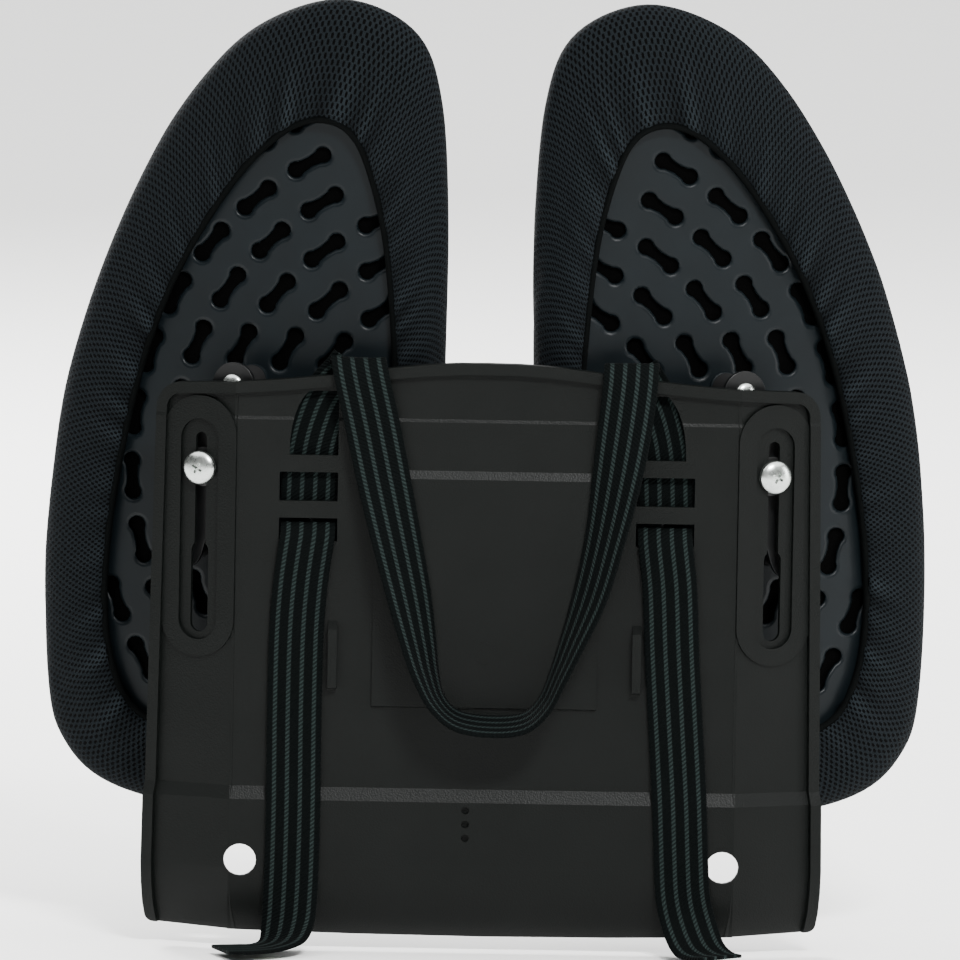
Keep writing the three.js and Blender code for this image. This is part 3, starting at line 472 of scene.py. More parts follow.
# Each point is x, y, z and the direction across the webbing's width.
STRAP_LOOP = [
    (-82, 4.6, 62, -1, 0, 0),
    (-81.6, 4.6, 74, -1, 0, 0),
    (-80.8, 4.6, 90, -1, 0, -0.1),
    (-77.5, 4.8, 104, -1, 0, -0.35),
    (-72.5, 5, 116, -1, 0, -0.5),
    (-64.8, 5.3, 125, -1, 0, -0.35),
    (-60.8, 5, 130.4, -1, 0, -0.05),
    (-59.8, 0.6, 134, -1, 0, 0),
    (-59, -4.6, 130.8, -1, 0, -0.1),
    (-57, -6.2, 122, -1, 0, -0.2),
    (-52.7, -6.2, 104, -1, -0.06, -0.22),
    (-47.2, -6.8, 79, -1, -0.24, -0.23),
    (-41.4, -9, 54, -1, -0.5, -0.24),
    (-35.2, -11.4, 28, -1, -0.8, -0.24),
    (-29.8, -13.6, 4, -0.8, -1.1, -0.2),
    (-26.6, -14.6, -9, -0.56, -1.2, -0.2),
    (-21.4, -15.1, -21.5, -0.26, -1.2, -0.24),
    (-12, -15.3, -29.6, -0.06, -1.2, -0.3),
    (4, -15.3, -32, 0, -1.2, -0.32),
    (19, -15.3, -30, 0.06, -1.2, -0.3),
    (28, -15.2, -21.5, 0.2, -1.2, -0.22),
    (33.6, -15, -9, 0.3, -1.2, -0.2),
    (38.8, -14.6, 4, 0.44, -1.15, -0.18),
    (47.6, -13.4, 28, 0.62, -0.9, -0.2),
    (54, -12, 54, 0.74, -0.76, -0.16),
    (58.6, -9.6, 79, 0.88, -0.5, -0.14),
    (62.2, -7, 104, 1, -0.2, -0.12),
    (64.2, -6.2, 122, 1, 0, -0.1),
    (64.8, -4.6, 130.2, 1, 0, -0.06),
    (65, 0.6, 133.4, 1, 0, 0),
    (65.5, 5, 129.8, 1, 0, -0.05),
    (68.6, 5.3, 124, 1, 0, -0.35),
    (74, 5, 115, 1, 0, -0.45),
    (78, 4.8, 104, 1, 0, -0.3),
    (80.8, 4.6, 90, 1, 0, -0.1),
    (81.6, 4.6, 74, 1, 0, 0),
    (82, 4.6, 62, 1, 0, 0),
]
RIM_POINTS = (6, 30)  # where it passes behind the rim, on the left and on the right
TAIL_LEFT = [
    (-81.5, 3.4, 58.2, 1, 0, 0),
    (-81.5, 0.6, 55.8, 1, 0, 0),
    (-81.7, -1.9, 52, 1, 0, 0),
    (-82.6, -2.6, 46, 1, 0, 0.03),
    (-84.6, -2.4, 30, 1, 0, 0.05),
    (-86, -2.2, 8, 1, 0, 0.03),
    (-86.4, -2.2, -25, 1, 0, 0),
    (-86.3, -2.6, -54, 1, 0, 0),
    (-86.2, -4.4, -70, 1, 0, 0),
    (-86.4, -4.4, -92, 1, 0, 0),
    (-86.8, -4.9, -110, 1, -0.05, 0.02),
    (-87.6, -7.5, -124, 1, -0.2, 0.1),
    (-90, -14, -132, 0.95, -0.5, 0.12),
    (-96.5, -20.5, -134.6, 0.75, -0.85, 0.05),
    (-106, -25.5, -135, 0.5, -1, 0),
    (-118, -30, -134.8, 0.4, -1, 0),
]
TAIL_RIGHT = [
    (81.5, 3.4, 58.2, 1, 0, 0),
    (81.5, 0.6, 55.8, 1, 0, 0),
    (81.7, -1.9, 52, 1, 0, 0),
    (82.4, -2.6, 46, 1, 0, 0),
    (84.2, -2.4, 30, 1, 0, 0.04),
    (85.6, -2.2, 2, 1, 0, 0.06),
    (87.6, -2.2, -28, 1, 0, 0.07),
    (89.4, -2.6, -54, 1, 0, 0.05),
    (90.4, -4.4, -70, 1, 0, 0.04),
    (91.4, -4.4, -92, 1, 0, 0.05),
    (92.6, -4.9, -110, 1, 0.02, 0.12),
    (95.4, -7.6, -122, 1, 0.12, 0.2),
    (99.6, -14, -131.6, 1, 0.3, 0.12),
    (104.6, -21, -134.8, 1, 0.45, 0.05),
    (110, -28, -134.8, 1, 0.55, 0),
]
# The webbing's section as shares of its half width and half thickness: flat, with soft edges.
WEBBING_SECTION = [
    (-1, -0.25), (-0.985, -0.8), (-0.95, -1), (-0.5, -1), (0, -1), (0.5, -1), (0.95, -1), (0.985, -0.8),
    (1, -0.25), (1, 0.25), (0.985, 0.8), (0.95, 1), (0.5, 1), (0, 1), (-0.5, 1), (-0.95, 1),
    (-0.985, 0.8), (-1, 0.25),
]


def webbing_along(name, route):
    """A flat strap along a route, and the middle line that it follows in metres."""
    line = smooth_line(route, max(24, 6 * len(route)))
    centre = line[:, :3] + np.array([0, MARK_Y, 0])
    along = np.gradient(centre, axis=0)
    along /= np.linalg.norm(along, axis=1, keepdims=True)
    across = line[:, 3:] - np.sum(line[:, 3:] * along, 1, keepdims=True) * along
    across /= np.linalg.norm(across, axis=1, keepdims=True)
    thick = np.cross(along, across)
    section = np.array(WEBBING_SECTION)
    half = (WEBBING_WIDTH / 2, WEBBING_THICKNESS / 2)
    rings = (
        centre[:, None]
        + section[None, :, :1] * half[0] * across[:, None]
        + section[None, :, 1:] * half[1] * thick[:, None]
    )
    count, around = len(centre), len(section)
    faces = wall_faces(count, around)
    faces.append(tuple(range(around - 1, -1, -1)))
    faces.append(tuple((count - 1) * around + k for k in range(around)))
    strap = new_piece(name, rings.reshape(-1, 3) * MM, faces, WEBBING)
    run = np.concatenate([[0], np.cumsum(np.linalg.norm(np.diff(centre, axis=0), axis=1))])
    u = (section[:, 0] + 1) / 2 * WEBBING_WIDTH
    uv = np.stack(np.broadcast_arrays(u[None, :], run[:, None]), -1).reshape(-1, 2)
    store_uv(strap, uv * MM)
    face_outwards(strap)
    sharpen(strap, 50)
    return strap, centre * MM, run[-1] * MM


def lay_webbing():
    """The loop that hangs behind the panel, the two tails, and the stretches held by the ladders."""
    left, right = RIM_POINTS
    loose = {
        "strap_loop_front": (STRAP_LOOP[left : right + 1], "strap_loop"),
        "strap_tail_left_webbing": (TAIL_LEFT, "strap_tail_left"),
        "strap_tail_right_webbing": (TAIL_RIGHT, "strap_tail_right"),
    }
    for name, (route, node) in loose.items():
        strap, path, length = webbing_along(name, route)
        attach(strap, "panel", "webbing", node)
    for name, route in (("left", STRAP_LOOP[: left + 1]), ("right", STRAP_LOOP[right:])):
        attach(webbing_along(f"strap_laced_{name}", route)[0], "panel", "webbing")


lay_webbing()

# ---- Wings --------------------------------------------------------------------------------------

SHELL_INNER_Y = 20
SHELL_FLAT_TO = 35
SHELL_SWEEP = 0.00227
SHELL_LEAN_Z = 130
SHELL_LEAN = 0.0004
PAD_CENTRE = np.array([110.0, 108.0])
WING_OUTLINE = [
    (20.5, 50), (20.5, 118), (20.5, 189), (24, 250), (37, 283), (70, 297), (107, 284.5), (134.5, 256.5),
    (159.5, 213), (178, 168.5), (190, 126), (198, 76.5), (201.8, 18.5), (200.5, -32), (194, -54),
    (178, -70), (148, -78), (100, -80.5), (52, -77), (29, -62), (21, -25),
]
OPENING_OUTLINE = [
    (41.5, 55), (42.5, 92), (43, 130.5), (48, 184), (56.5, 219), (65.5, 236), (79, 241.5), (95, 236),
    (114, 217.5), (134, 187), (149.5, 154.5), (161, 118), (170, 74), (174.6, 36.5), (174.8, 6),
    (170.5, -17), (161, -34), (140, -43), (100, -46), (64, -41.5), (47.5, -25),
]
AROUND = 224
wing_edge = smooth_loop(WING_OUTLINE, AROUND)
opening_edge = smooth_loop(OPENING_OUTLINE, AROUND)


def shell_rear(x, z):
    """How far forward the rear face of a wing's shell is."""
    sweep = SHELL_SWEEP * np.maximum(0, x - SHELL_FLAT_TO) ** 2
    return SHELL_INNER_Y + sweep - SHELL_LEAN * np.maximum(0, z - SHELL_LEAN_Z) ** 2


def wing_ring(share):
    """A ring round the right wing: 0 is the middle, 1 the cover's opening, 2 the outer edge."""
    if share <= 1:
        return PAD_CENTRE + (opening_edge - PAD_CENTRE) * share
    return opening_edge + (wing_edge - opening_edge) * (share - 1)


def wing_skin(rows):
    """Vertices and faces of a skin through rows of (share out, distance ahead of the shell)."""
    rings = []
    for share, ahead in rows:
        flat = wing_ring(share)
        rings.append(np.stack([flat[:, 0], shell_rear(flat[:, 0], flat[:, 1]) + ahead, flat[:, 1]], 1))
    faces = [(a, d, c, b) for a, b, c, d in wall_faces(len(rows), AROUND)]
    return np.array(rings), faces


def place_on_side(rings, side):
    """Ring points in metres, on their own side and in the frame."""
    points = rings.reshape(-1, 3) * np.array([side, 1, 1]) + np.array([0, MARK_Y, 0])
    return points * MM


# (share out, distance ahead of the shell), from the middle of the front round to the opening
COVER_PROFILE = [
    (0.03, 25), (0.3, 26), (0.6, 27.2), (1, 27.6), (1.4, 26.4), (1.7, 23), (1.88, 17.5), (1.97, 11.5),
    (2, 6), (1.97, 0.5), (1.88, -4), (1.7, -7.6), (1.45, -9), (1.25, -8.6), (1.1, -7.2), (1.03, -5.2),
    (1.0, -3.6), (1.015, -2.9), (1.05, -3.3), (1.1, -4.2),
]
GATHER_DEPTH = 2.4
GATHER_REACH = 0.75  # of the way from the opening to the edge
GATHERS = ((38, 0.55), (53, 0.5), (71, 0.35), (23, 0.4))  # (folds round the opening, their share)
VALLEY_SHARE = 0.35  # of a fold's depth
COVER_WALL = 1.4
PUFF_CAP = 2.5
PUFF_FRAMES = 20
PROFILE_REACH = 60  # a step of 1 in the share out, as a distance along a profile


def gather_depth(rng, share):
    """Creases that the hem elastic draws in, deepest at the opening and gone near the edge."""
    around = np.linspace(0, 2 * np.pi, AROUND, endpoint=False)
    wander = 0.5 * np.sin(3 * around + rng.uniform(0, 6)) + 0.35 * np.sin(7 * around + rng.uniform(0, 6))
    folds = sum(
        size * np.sin(count * around + 2.6 * wander + rng.uniform(0, 2 * np.pi))
        for count, size in GATHERS
    )
    folds *= 0.75 + 0.35 * np.sin(5 * around + rng.uniform(0, 6))
    folds = np.maximum(folds, VALLEY_SHARE * folds)
    fade = np.clip(1 - (share - 1) / GATHER_REACH, 0, 1)
    return folds[None, :] * (GATHER_DEPTH * fade**1.6)[:, None]


def puff(piece, still, cap):
    """Lets the cover settle as pressed cloth, with the listed vertices held, and keeps the result."""
    rest = np.array([v.co for v in piece.data.vertices])
    pins = piece.vertex_groups.new(name="held")
    pins.add([int(i) for i in still], 1.0, "ADD")
    cloth = piece.modifiers.new("Cloth", "CLOTH")
    settings = cloth.settings
    settings.quality = 6
    settings.mass = 0.15
    settings.tension_stiffness = settings.compression_stiffness = 20
    settings.shear_stiffness = 8
    settings.bending_stiffness = 0.6
    settings.use_pressure = True
    settings.uniform_pressure_force = 4
    settings.vertex_group_mass = "held"
    settings.effector_weights.gravity = 0
    cloth.collision_settings.use_collision = False
    cloth.point_cache.frame_end = PUFF_FRAMES
    scene = bpy.context.scene
    for step in range(1, PUFF_FRAMES + 1):
        scene.frame_set(step)
    evaluated = piece.evaluated_get(bpy.context.evaluated_depsgraph_get())
    moved = np.array([v.co for v in evaluated.data.vertices]) - rest
    piece.modifiers.remove(cloth)
    piece.vertex_groups.clear()
    scene.frame_set(1)
    far = np.linalg.norm(moved, axis=1, keepdims=True)
    moved *= np.minimum(1, cap * MM / np.maximum(far, 1e-9))
    piece.data.vertices.foreach_set("co", (rest + moved).ravel())
    piece.data.update()


def profile_rows(profile, count):
    """Evenly spaced (share out, distance ahead) rows on a smooth line through a profile."""
    line = smooth_line([(share * PROFILE_REACH, ahead, 0) for share, ahead in profile], count)
    return line[:, :2] / np.array([PROFILE_REACH, 1])


def make_cover(name, side, rng):
    """The mesh cover: a crowned front, a rolled edge and gathers round the opening at the back."""
    rows = profile_rows(COVER_PROFILE, 64)
    rings, faces = wing_skin(rows)
    turned_back = np.arange(len(rows)) > np.argmax(rows[:, 0])
    depth = gather_depth(rng, rows[:, 0]) * turned_back[:, None]
    rings[:, :, 1] -= depth
    inward = np.clip(1.35 - rows[:, 0], 0, 0.35) / 0.35 * turned_back
    lean = wing_edge - opening_edge
    lean /= np.linalg.norm(lean, axis=1, keepdims=True)
    rings[:, :, 0] += (depth * 0.5 * inward[:, None]) * lean[:, 0]
    rings[:, :, 2] += (depth * 0.5 * inward[:, None]) * lean[:, 1]
    count = len(rows)
    middle = rings[0].mean(0, keepdims=True)
    points = np.vstack([place_on_side(rings, side), place_on_side(middle, side)])
    faces += [(j, (j + 1) % AROUND, count * AROUND) for j in range(AROUND)]
    cover = new_piece(name, points, faces, AIR_MESH)
    store_uv(cover, cover_uv(rings, rows))
    # painted shade on the gathers: each point's fold depth, which the material turns into lighter fold
    # tops and darker creases
    painted_fold_shade = cover.data.attributes.new("painted_fold_shade", "FLOAT", "POINT")
    painted_shade_levels = np.append(0.5 + 0.5 * depth / GATHER_DEPTH, 0.5)
    painted_fold_shade.data.foreach_set("value", np.clip(painted_shade_levels, 0, 1).astype(np.float32))
    face_outwards_open(cover, side)
    held = range((count - 4) * AROUND, count * AROUND)
    puff(cover, held, PUFF_CAP)
    wall = cover.modifiers.new("Mesh thickness", "SOLIDIFY")
    wall.thickness = COVER_WALL * MM
    wall.offset = -1
    return cover


CROWN_TO = 1.5  # share out, where the front starts to roll over the edge


def cover_uv(rings, rows):
    """Metres around the wing and along the profile, so the knit keeps one size over the surface."""
    front = np.arange(len(rows)) < np.argmax(rows[:, 0])
    from_front = rings[:, :, [0, 2]]
    edge_run = np.concatenate([[0], np.cumsum(np.linalg.norm(np.diff(wing_edge, axis=0), axis=1))])
    down = np.linalg.norm(np.diff(rings, axis=0), axis=2).mean(1)
    run = np.concatenate([[0], np.cumsum(down)])
    uv = np.stack(np.broadcast_arrays(edge_run[None, :], run[:, None]), -1)
    crown = front & (rows[:, 0] < CROWN_TO)
    uv = np.where(crown[:, None, None], from_front, uv)
    return np.vstack([uv.reshape(-1, 2), from_front[0].mean(0)[None]]) * MM


FRONT_MIDDLE = (0.11, 0.1)  # a place on the front of the cover, in metres


def face_outwards_open(piece, side):
    """The skin faces the sitter at its front. A mirrored one is turned over."""
    mesh = bmesh.new()
    mesh.from_mesh(piece.data)
    mesh.faces.ensure_lookup_table()

    def nearness(face):
        centre = face.calc_center_median()
        return -abs(centre.x - side * FRONT_MIDDLE[0]) - abs(centre.z - FRONT_MIDDLE[1])

    front = max(mesh.faces, key=nearness)
    bmesh.ops.recalc_face_normals(mesh, faces=mesh.faces)
    front.normal_update()
    if front.normal.y < 0:
        bmesh.ops.reverse_faces(mesh, faces=mesh.faces)
    mesh.to_mesh(piece.data)
    mesh.free()


# The same for the foam, which hooks round the shell's edge and ends flat against its inner face
FOAM_PROFILE = [
    (0.02, 21.8), (0.6, 24), (1, 24.4), (1.4, 23), (1.64, 19.8), (1.78, 14.6), (1.85, 10), (1.87, 5.5),
    (1.85, 1), (1.77, -1.4), (1.6, -3.4), (1.42, -4), (1.25, -3.4), (1.19, -1.4), (1.22, -0.5),
    (1.5, -0.4), (1.76, -0.3), (1.77, 1.2), (1.74, 2.9), (1.4, 2.9), (1, 2.9), (0.5, 2.9), (0.02, 2.9),
]


def make_foam(name, side):
    """The foam pad inside the cover, hooked round the shell's edge."""
    rows = profile_rows(FOAM_PROFILE, 60)
    rings, faces = wing_skin(rows)
    last = (len(rows) - 1) * AROUND
    faces += [tuple(range(AROUND)), tuple(last + j for j in range(AROUND - 1, -1, -1))]
    foam = new_piece(name, place_on_side(rings, side), faces, FOAM)
    face_outwards(foam)
    return foam


HEM_SIDES = 12
HEM_CORD = (1.07, 2.1, 1.0)  # share out, distance behind the shell and radius
HEM_BINDING = (1.005, 4.3, 1.6)


def make_hem_tube(name, side, rng, share, behind, radius):
    """A tube round the opening at the back of a cover, waved a little where the mesh bunches on it."""
    line = wing_ring(share)
    around = np.linspace(0, 2 * np.pi, AROUND, endpoint=False)
    wave = 0.18 * np.sin(47 * around + rng.uniform(0, 6))
    wave = wave + 0.12 * np.sin(31 * around + rng.uniform(0, 6))
    centre = np.stack([line[:, 0], shell_rear(line[:, 0], line[:, 1]) - behind + wave, line[:, 1]], 1)
    along = np.roll(centre, -1, 0) - np.roll(centre, 1, 0)
    along /= np.linalg.norm(along, axis=1, keepdims=True)
    out = np.cross(along, np.array([0.0, 1.0, 0.0]))
    out /= np.linalg.norm(out, axis=1, keepdims=True)
    up = np.cross(out, along)
    turns = np.linspace(0, 2 * np.pi, HEM_SIDES, endpoint=False)
    rings = np.stack([centre + radius * (np.cos(t) * out + np.sin(t) * up) for t in turns])
    faces = wall_faces(HEM_SIDES, AROUND, closed=True)
    tube = new_piece(name, place_on_side(rings, side), faces, HEM_ELASTIC)
    face_outwards(tube)
    return tube


# ---- Wing shells with their perforations --------------------------------------------------------

HOLE_CENTRE_Z = 81
HOLE_FIRST_RADIUS = 88
HOLE_ARC_PITCH = 18.85
HOLE_ARCS = 7
HOLE_PITCH = 29.6
HOLE_PHASE = 0.9
OUTER_HOLE_PHASE = 0.7  # on the arcs from OUTER_ARC on
OUTER_ARC = 4
HOLES_EACH_WAY = 8
HOLE_LOBE_RADIUS = 3.7
HOLE_LOBE_SPACING = 14.3
HOLE_NECK = 4.2
HOLE_ROLL = 2.0  # radius of the rolled edge
HOLE_EDGE_MARGIN = -4  # the perforations run on under the cover's hem
HOLE_BOSS_GAP = 0.6
BOSS_DIAMETER = 14.5
PLATE_RINGS = 26
PLATE_AROUND = 112
PLATE_REACH = 1.7  # share out, to the shell's edge under the foam


def perforation_outline(grow):
    """Two round lobes and a waist, grown outwards by a distance: points across and up."""
    points = []
    for end in (1, -1):
        for degrees in np.linspace(-132, 132, 11):
            a = math.radians(degrees)
            r = HOLE_LOBE_RADIUS + grow
            points.append((end * (HOLE_LOBE_SPACING / 2 + r * math.cos(a)), end * r * math.sin(a)))
        points.append((0.0, end * (HOLE_NECK / 2 + grow)))
    return points


def perforation_rings(levels):
    """Rings of the outline at (growth, distance forward) levels, joined into a wall."""
    rings = [[(x * MM, y * MM, z * MM) for x, z in perforation_outline(grow)] for grow, y in levels]
    count = len(rings[0])
    return [p for ring in rings for p in ring], wall_faces(len(rings), count), count


def perforation_cutter():
    """A solid that clears one perforation, to the outside of its rolled edge."""
    points, faces, count = perforation_rings([(HOLE_ROLL, -6), (HOLE_ROLL, 9)])
    faces += [tuple(range(count)), tuple(range(2 * count - 1, count - 1, -1))]
    cutter = new_piece("perforation_cutter", points, faces, SHELL_NYLON)
    face_outwards(cutter)
    return cutter


def perforation_edge():
    """The rolled rear edge of one perforation, down its wall and out along the front."""
    levels = []
    for a in np.linspace(0, math.pi / 2, 5):
        levels.append((HOLE_ROLL * (1 - math.sin(a)), HOLE_ROLL * (1 - math.cos(a)) * 0.85))
    levels += [(0, SHELL_WALL), (HOLE_ROLL, SHELL_WALL)]
    points, faces, _ = perforation_rings(levels)
    return new_piece("perforation_edge", points, faces, SHELL_NYLON)


def shell_plate(seats):
    """The shell laid flat, with the room that each point leaves for a perforation."""
    shares = np.linspace(0, PLATE_REACH, PLATE_RINGS)
    shares[0] = 0.02
    every = AROUND // PLATE_AROUND
    rear = [wing_ring(s)[::every] for s in shares]
    count = len(rear[0])
    flat = np.vstack(rear)
    points = [(x * MM, y * MM, z * MM) for y in (0, SHELL_WALL) for x, z in flat]
    half = len(flat)
    faces = []
    for quad in wall_faces(PLATE_RINGS, count):
        faces.append(quad)
        faces.append(tuple(half + v for v in quad[::-1]))
    last = (PLATE_RINGS - 1) * count
    for j in range(count):
        k = (j + 1) % count
        faces.append((last + j, last + k, half + last + k, half + last + j))
    faces += [tuple(range(count)), tuple(half + j for j in range(count - 1, -1, -1))]
    plate = new_piece("shell_plate", points, faces, SHELL_NYLON)
    face_outwards(plate)
    positions = np.array([v.co for v in plate.data.vertices])[:, [0, 2]] / MM
    room = plate.data.attributes.new("room", "FLOAT", "POINT")
    room.data.foreach_set("value", perforation_room(positions, seats).astype(np.float32))
    return plate


def perforation_room(positions, seats):
    """How far each position is inside the opening's edge and clear of the bosses."""
    along = np.roll(opening_edge, -1, 0) - opening_edge
    length = np.linalg.norm(along, axis=1)
    away = positions[:, None] - opening_edge[None]
    inside = (along[None, :, 1] * away[:, :, 0] - along[None, :, 0] * away[:, :, 1]) / length
    room = inside.min(1) - HOLE_EDGE_MARGIN
    radial = positions - np.array([0, HOLE_CENTRE_Z])
    radial /= np.linalg.norm(radial, axis=1, keepdims=True)
    along = np.stack([-radial[:, 1], radial[:, 0]], 1)
    clear = BOSS_DIAMETER / 2 + HOLE_LOBE_RADIUS + HOLE_BOSS_GAP
    for seat in seats:
        away = seat - positions
        half = HOLE_LOBE_SPACING / 2
        lengthways = np.clip(np.sum(away * along, 1), -half, half)[:, None]
        room = np.minimum(room, np.linalg.norm(away - lengthways * along, axis=1) - clear)
    return room


def group_input(tree, name, kind, default=None):
    socket = tree.interface.new_socket(name=name, in_out="INPUT", socket_type=kind)
    if default is not None:
        socket.default_value = default
    return socket


def perforation_tree():
    """Geometry Nodes that cut rows of perforations on arcs and bend the flat plate into a wing."""
    tree = bpy.data.node_groups.new("Perforated wing shell", "GeometryNodeTree")
    sizes = {
        "First arc radius": HOLE_FIRST_RADIUS,
        "Arc pitch": HOLE_ARC_PITCH,
        "Perforation pitch": HOLE_PITCH,
        "Arc centre height": HOLE_CENTRE_Z,
        "Flat to": SHELL_FLAT_TO,
        "Lean height": SHELL_LEAN_Z,
        "Inner depth": SHELL_INNER_Y + MARK_Y,
    }
    factors = {
        "Phase": HOLE_PHASE,
        "Outer phase": OUTER_HOLE_PHASE,
        "Sweep": SHELL_SWEEP / MM,
        "Lean": SHELL_LEAN / MM,
    }
    group_input(tree, "Plate", "NodeSocketGeometry")
    for name, kind in (("Cutter", "Object"), ("Rolled edge", "Object"), ("Finish", "Material")):
        group_input(tree, name, f"NodeSocket{kind}")
    for name, value in sizes.items():
        group_input(tree, name, "NodeSocketFloat", value * MM)
    for name, value in factors.items():
        group_input(tree, name, "NodeSocketFloat", value)
    tree.interface.new_socket(name="Shell", in_out="OUTPUT", socket_type="NodeSocketGeometry")
    given = add_node(tree, "NodeGroupInput").outputs

    per_arc = 2 * HOLES_EACH_WAY
    index = add_node(tree, "GeometryNodeInputIndex").outputs[0]
    arc = math_node(tree, "FLOOR", math_node(tree, "DIVIDE", index, float(per_arc)))
    step = math_node(tree, "MODULO", index, float(per_arc))
    step = math_node(tree, "SUBTRACT", step, float(HOLES_EACH_WAY))
    radius = math_node(tree, "MULTIPLY_ADD", arc, given["Arc pitch"], given["First arc radius"])
    outer = math_node(tree, "GREATER_THAN", arc, OUTER_ARC - 0.5)
    shift = math_node(tree, "SUBTRACT", given["Outer phase"], given["Phase"])
    shift = math_node(tree, "MULTIPLY", outer, shift)
    turns = math_node(tree, "ADD", math_node(tree, "ADD", step, given["Phase"]), shift)
    run = math_node(tree, "MULTIPLY", turns, given["Perforation pitch"])
    angle = math_node(tree, "DIVIDE", run, radius)
    x = math_node(tree, "MULTIPLY", radius, math_node(tree, "COSINE", angle))
    sine = math_node(tree, "SINE", angle)
    z = math_node(tree, "MULTIPLY_ADD", radius, sine, given["Arc centre height"])
    place = add_node(tree, "ShaderNodeCombineXYZ", {"X": x, "Z": z}).outputs[0]
    points = add_node(tree, "GeometryNodePoints", {"Count": HOLE_ARCS * per_arc, "Position": place})
    heading = math_node(tree, "SUBTRACT", -math.pi / 2, angle)
    turn_at = add_node(
        tree, "GeometryNodeStoreNamedAttribute",
        {"Geometry": points.outputs[0], "Name": "turn", "Value": heading},
        domain="POINT", data_type="FLOAT",
    )
    room = add_node(tree, "GeometryNodeInputNamedAttribute", {"Name": "room"}, data_type="FLOAT")
    sampled = add_node(
        tree, "GeometryNodeSampleNearestSurface", {"Mesh": given["Plate"], "Value": room.outputs[0]}
    )
    crowded = add_node(
        tree, "FunctionNodeCompare", {"A": sampled.outputs[0], "B": 0.0},
        data_type="FLOAT", operation="LESS_THAN",
    )
    kept = add_node(
        tree, "GeometryNodeDeleteGeometry",
        {"Geometry": turn_at.outputs[0], "Selection": crowded.outputs[0]}, domain="POINT",
    )
    turn = add_node(tree, "GeometryNodeInputNamedAttribute", {"Name": "turn"}, data_type="FLOAT")
    rotation = add_node(tree, "ShaderNodeCombineXYZ", {"Y": turn.outputs[0]}).outputs[0]
    copies = []
    for name in ("Cutter", "Rolled edge"):
        source = add_node(tree, "GeometryNodeObjectInfo", {"Object": given[name]})
        placed = add_node(
            tree, "GeometryNodeInstanceOnPoints",
            {"Points": kept.outputs[0], "Instance": source.outputs["Geometry"], "Rotation": rotation},
        )
        real = add_node(tree, "GeometryNodeRealizeInstances", {"Geometry": placed.outputs[0]})
        copies.append(real.outputs[0])
    cut = add_node(tree, "GeometryNodeMeshBoolean", operation="DIFFERENCE", solver="EXACT")
    tree.links.new(given["Plate"], cut.inputs["Mesh 1"])
    tree.links.new(copies[0], cut.inputs["Mesh 2"])
    joined = add_node(tree, "GeometryNodeJoinGeometry")
    tree.links.new(cut.outputs["Mesh"], joined.inputs[0])
    tree.links.new(copies[1], joined.inputs[0])

    here = add_node(tree, "GeometryNodeInputPosition").outputs[0]
    axes = add_node(tree, "ShaderNodeSeparateXYZ", {"Vector": here}).outputs
    bends = []
    for axis, start, rate in ((axes[0], "Flat to", "Sweep"), (axes[2], "Lean height", "Lean")):
        past = math_node(tree, "MAXIMUM", math_node(tree, "SUBTRACT", axis, given[start]), 0.0)
        bends.append(math_node(tree, "MULTIPLY", math_node(tree, "MULTIPLY", past, past), given[rate]))
    depth = math_node(tree, "ADD", math_node(tree, "SUBTRACT", *bends), given["Inner depth"])
    offset = add_node(tree, "ShaderNodeCombineXYZ", {"Y": depth}).outputs[0]
    bent = add_node(tree, "GeometryNodeSetPosition", {"Geometry": joined.outputs[0], "Offset": offset})
    solid = add_node(tree, "GeometryNodeRealizeInstances", {"Geometry": bent.outputs[0]})
    finished = add_node(
        tree, "GeometryNodeSetMaterial", {"Geometry": solid.outputs[0], "Material": given["Finish"]}
    )
    add_node(tree, "NodeGroupOutput", {0: finished.outputs[0]})
    return tree


def set_input(modifier, name, value):
    """Sets a modifier's named input by its socket's identifier."""
    for socket in modifier.node_group.interface.items_tree:
        if socket.item_type == "SOCKET" and socket.in_out == "INPUT" and socket.name == name:
            modifier[socket.identifier] = value


def make_shells(seats):
    """One plain mesh for each wing's shell."""
    plate, cutter, edge = shell_plate(seats), perforation_cutter(), perforation_edge()
    modifier = plate.modifiers.new("Perforations", "NODES")
    modifier.node_group = perforation_tree()
    set_input(modifier, "Cutter", cutter)
    set_input(modifier, "Rolled edge", edge)
    set_input(modifier, "Finish", SHELL_NYLON)
    bpy.context.view_layer.update()
    evaluated = plate.evaluated_get(bpy.context.evaluated_depsgraph_get())
    right = bpy.data.meshes.new_from_object(evaluated)
    left = right.copy()
    left.transform(Matrix.Scale(-1, 4, (1, 0, 0)))
    shells = {}
    for name, mesh in (("right", right), ("left", left)):
        if name == "left":
            mesh.flip_normals()
        shell = bpy.data.objects.new(f"{name}_shell", mesh)
        bpy.context.scene.collection.objects.link(shell)
        sharpen(shell, 35)
        shells[name] = shell
    for used in (plate, cutter, edge):
        bpy.data.objects.remove(used)
    return shells


# ---- Fasteners and arms -------------------------------------------------------------------------


def clamp_frame(side):
    """Origin on the shoulder's rear face at the clamp bolt, with Y along the bolt."""
    x = side * (FOLD_X + BOLT_SHOULDER_X * math.cos(SHOULDER_ANGLE))
    y = BOLT_SHOULDER_X * math.sin(SHOULDER_ANGLE) + MARK_Y
    return Matrix.Translation((x, y, BOLT_Z)) @ Matrix.Rotation(side * SHOULDER_ANGLE, 4, "Z")


def arm_frame(side, end=0):
    """The same, leaning as the arm does and moved to an end of it."""
    lean = Matrix.Rotation(-side * ARM_LEAN, 4, "Y")
    return clamp_frame(side) @ lean @ Matrix.Translation((0, 0, end * ARM_REACH))


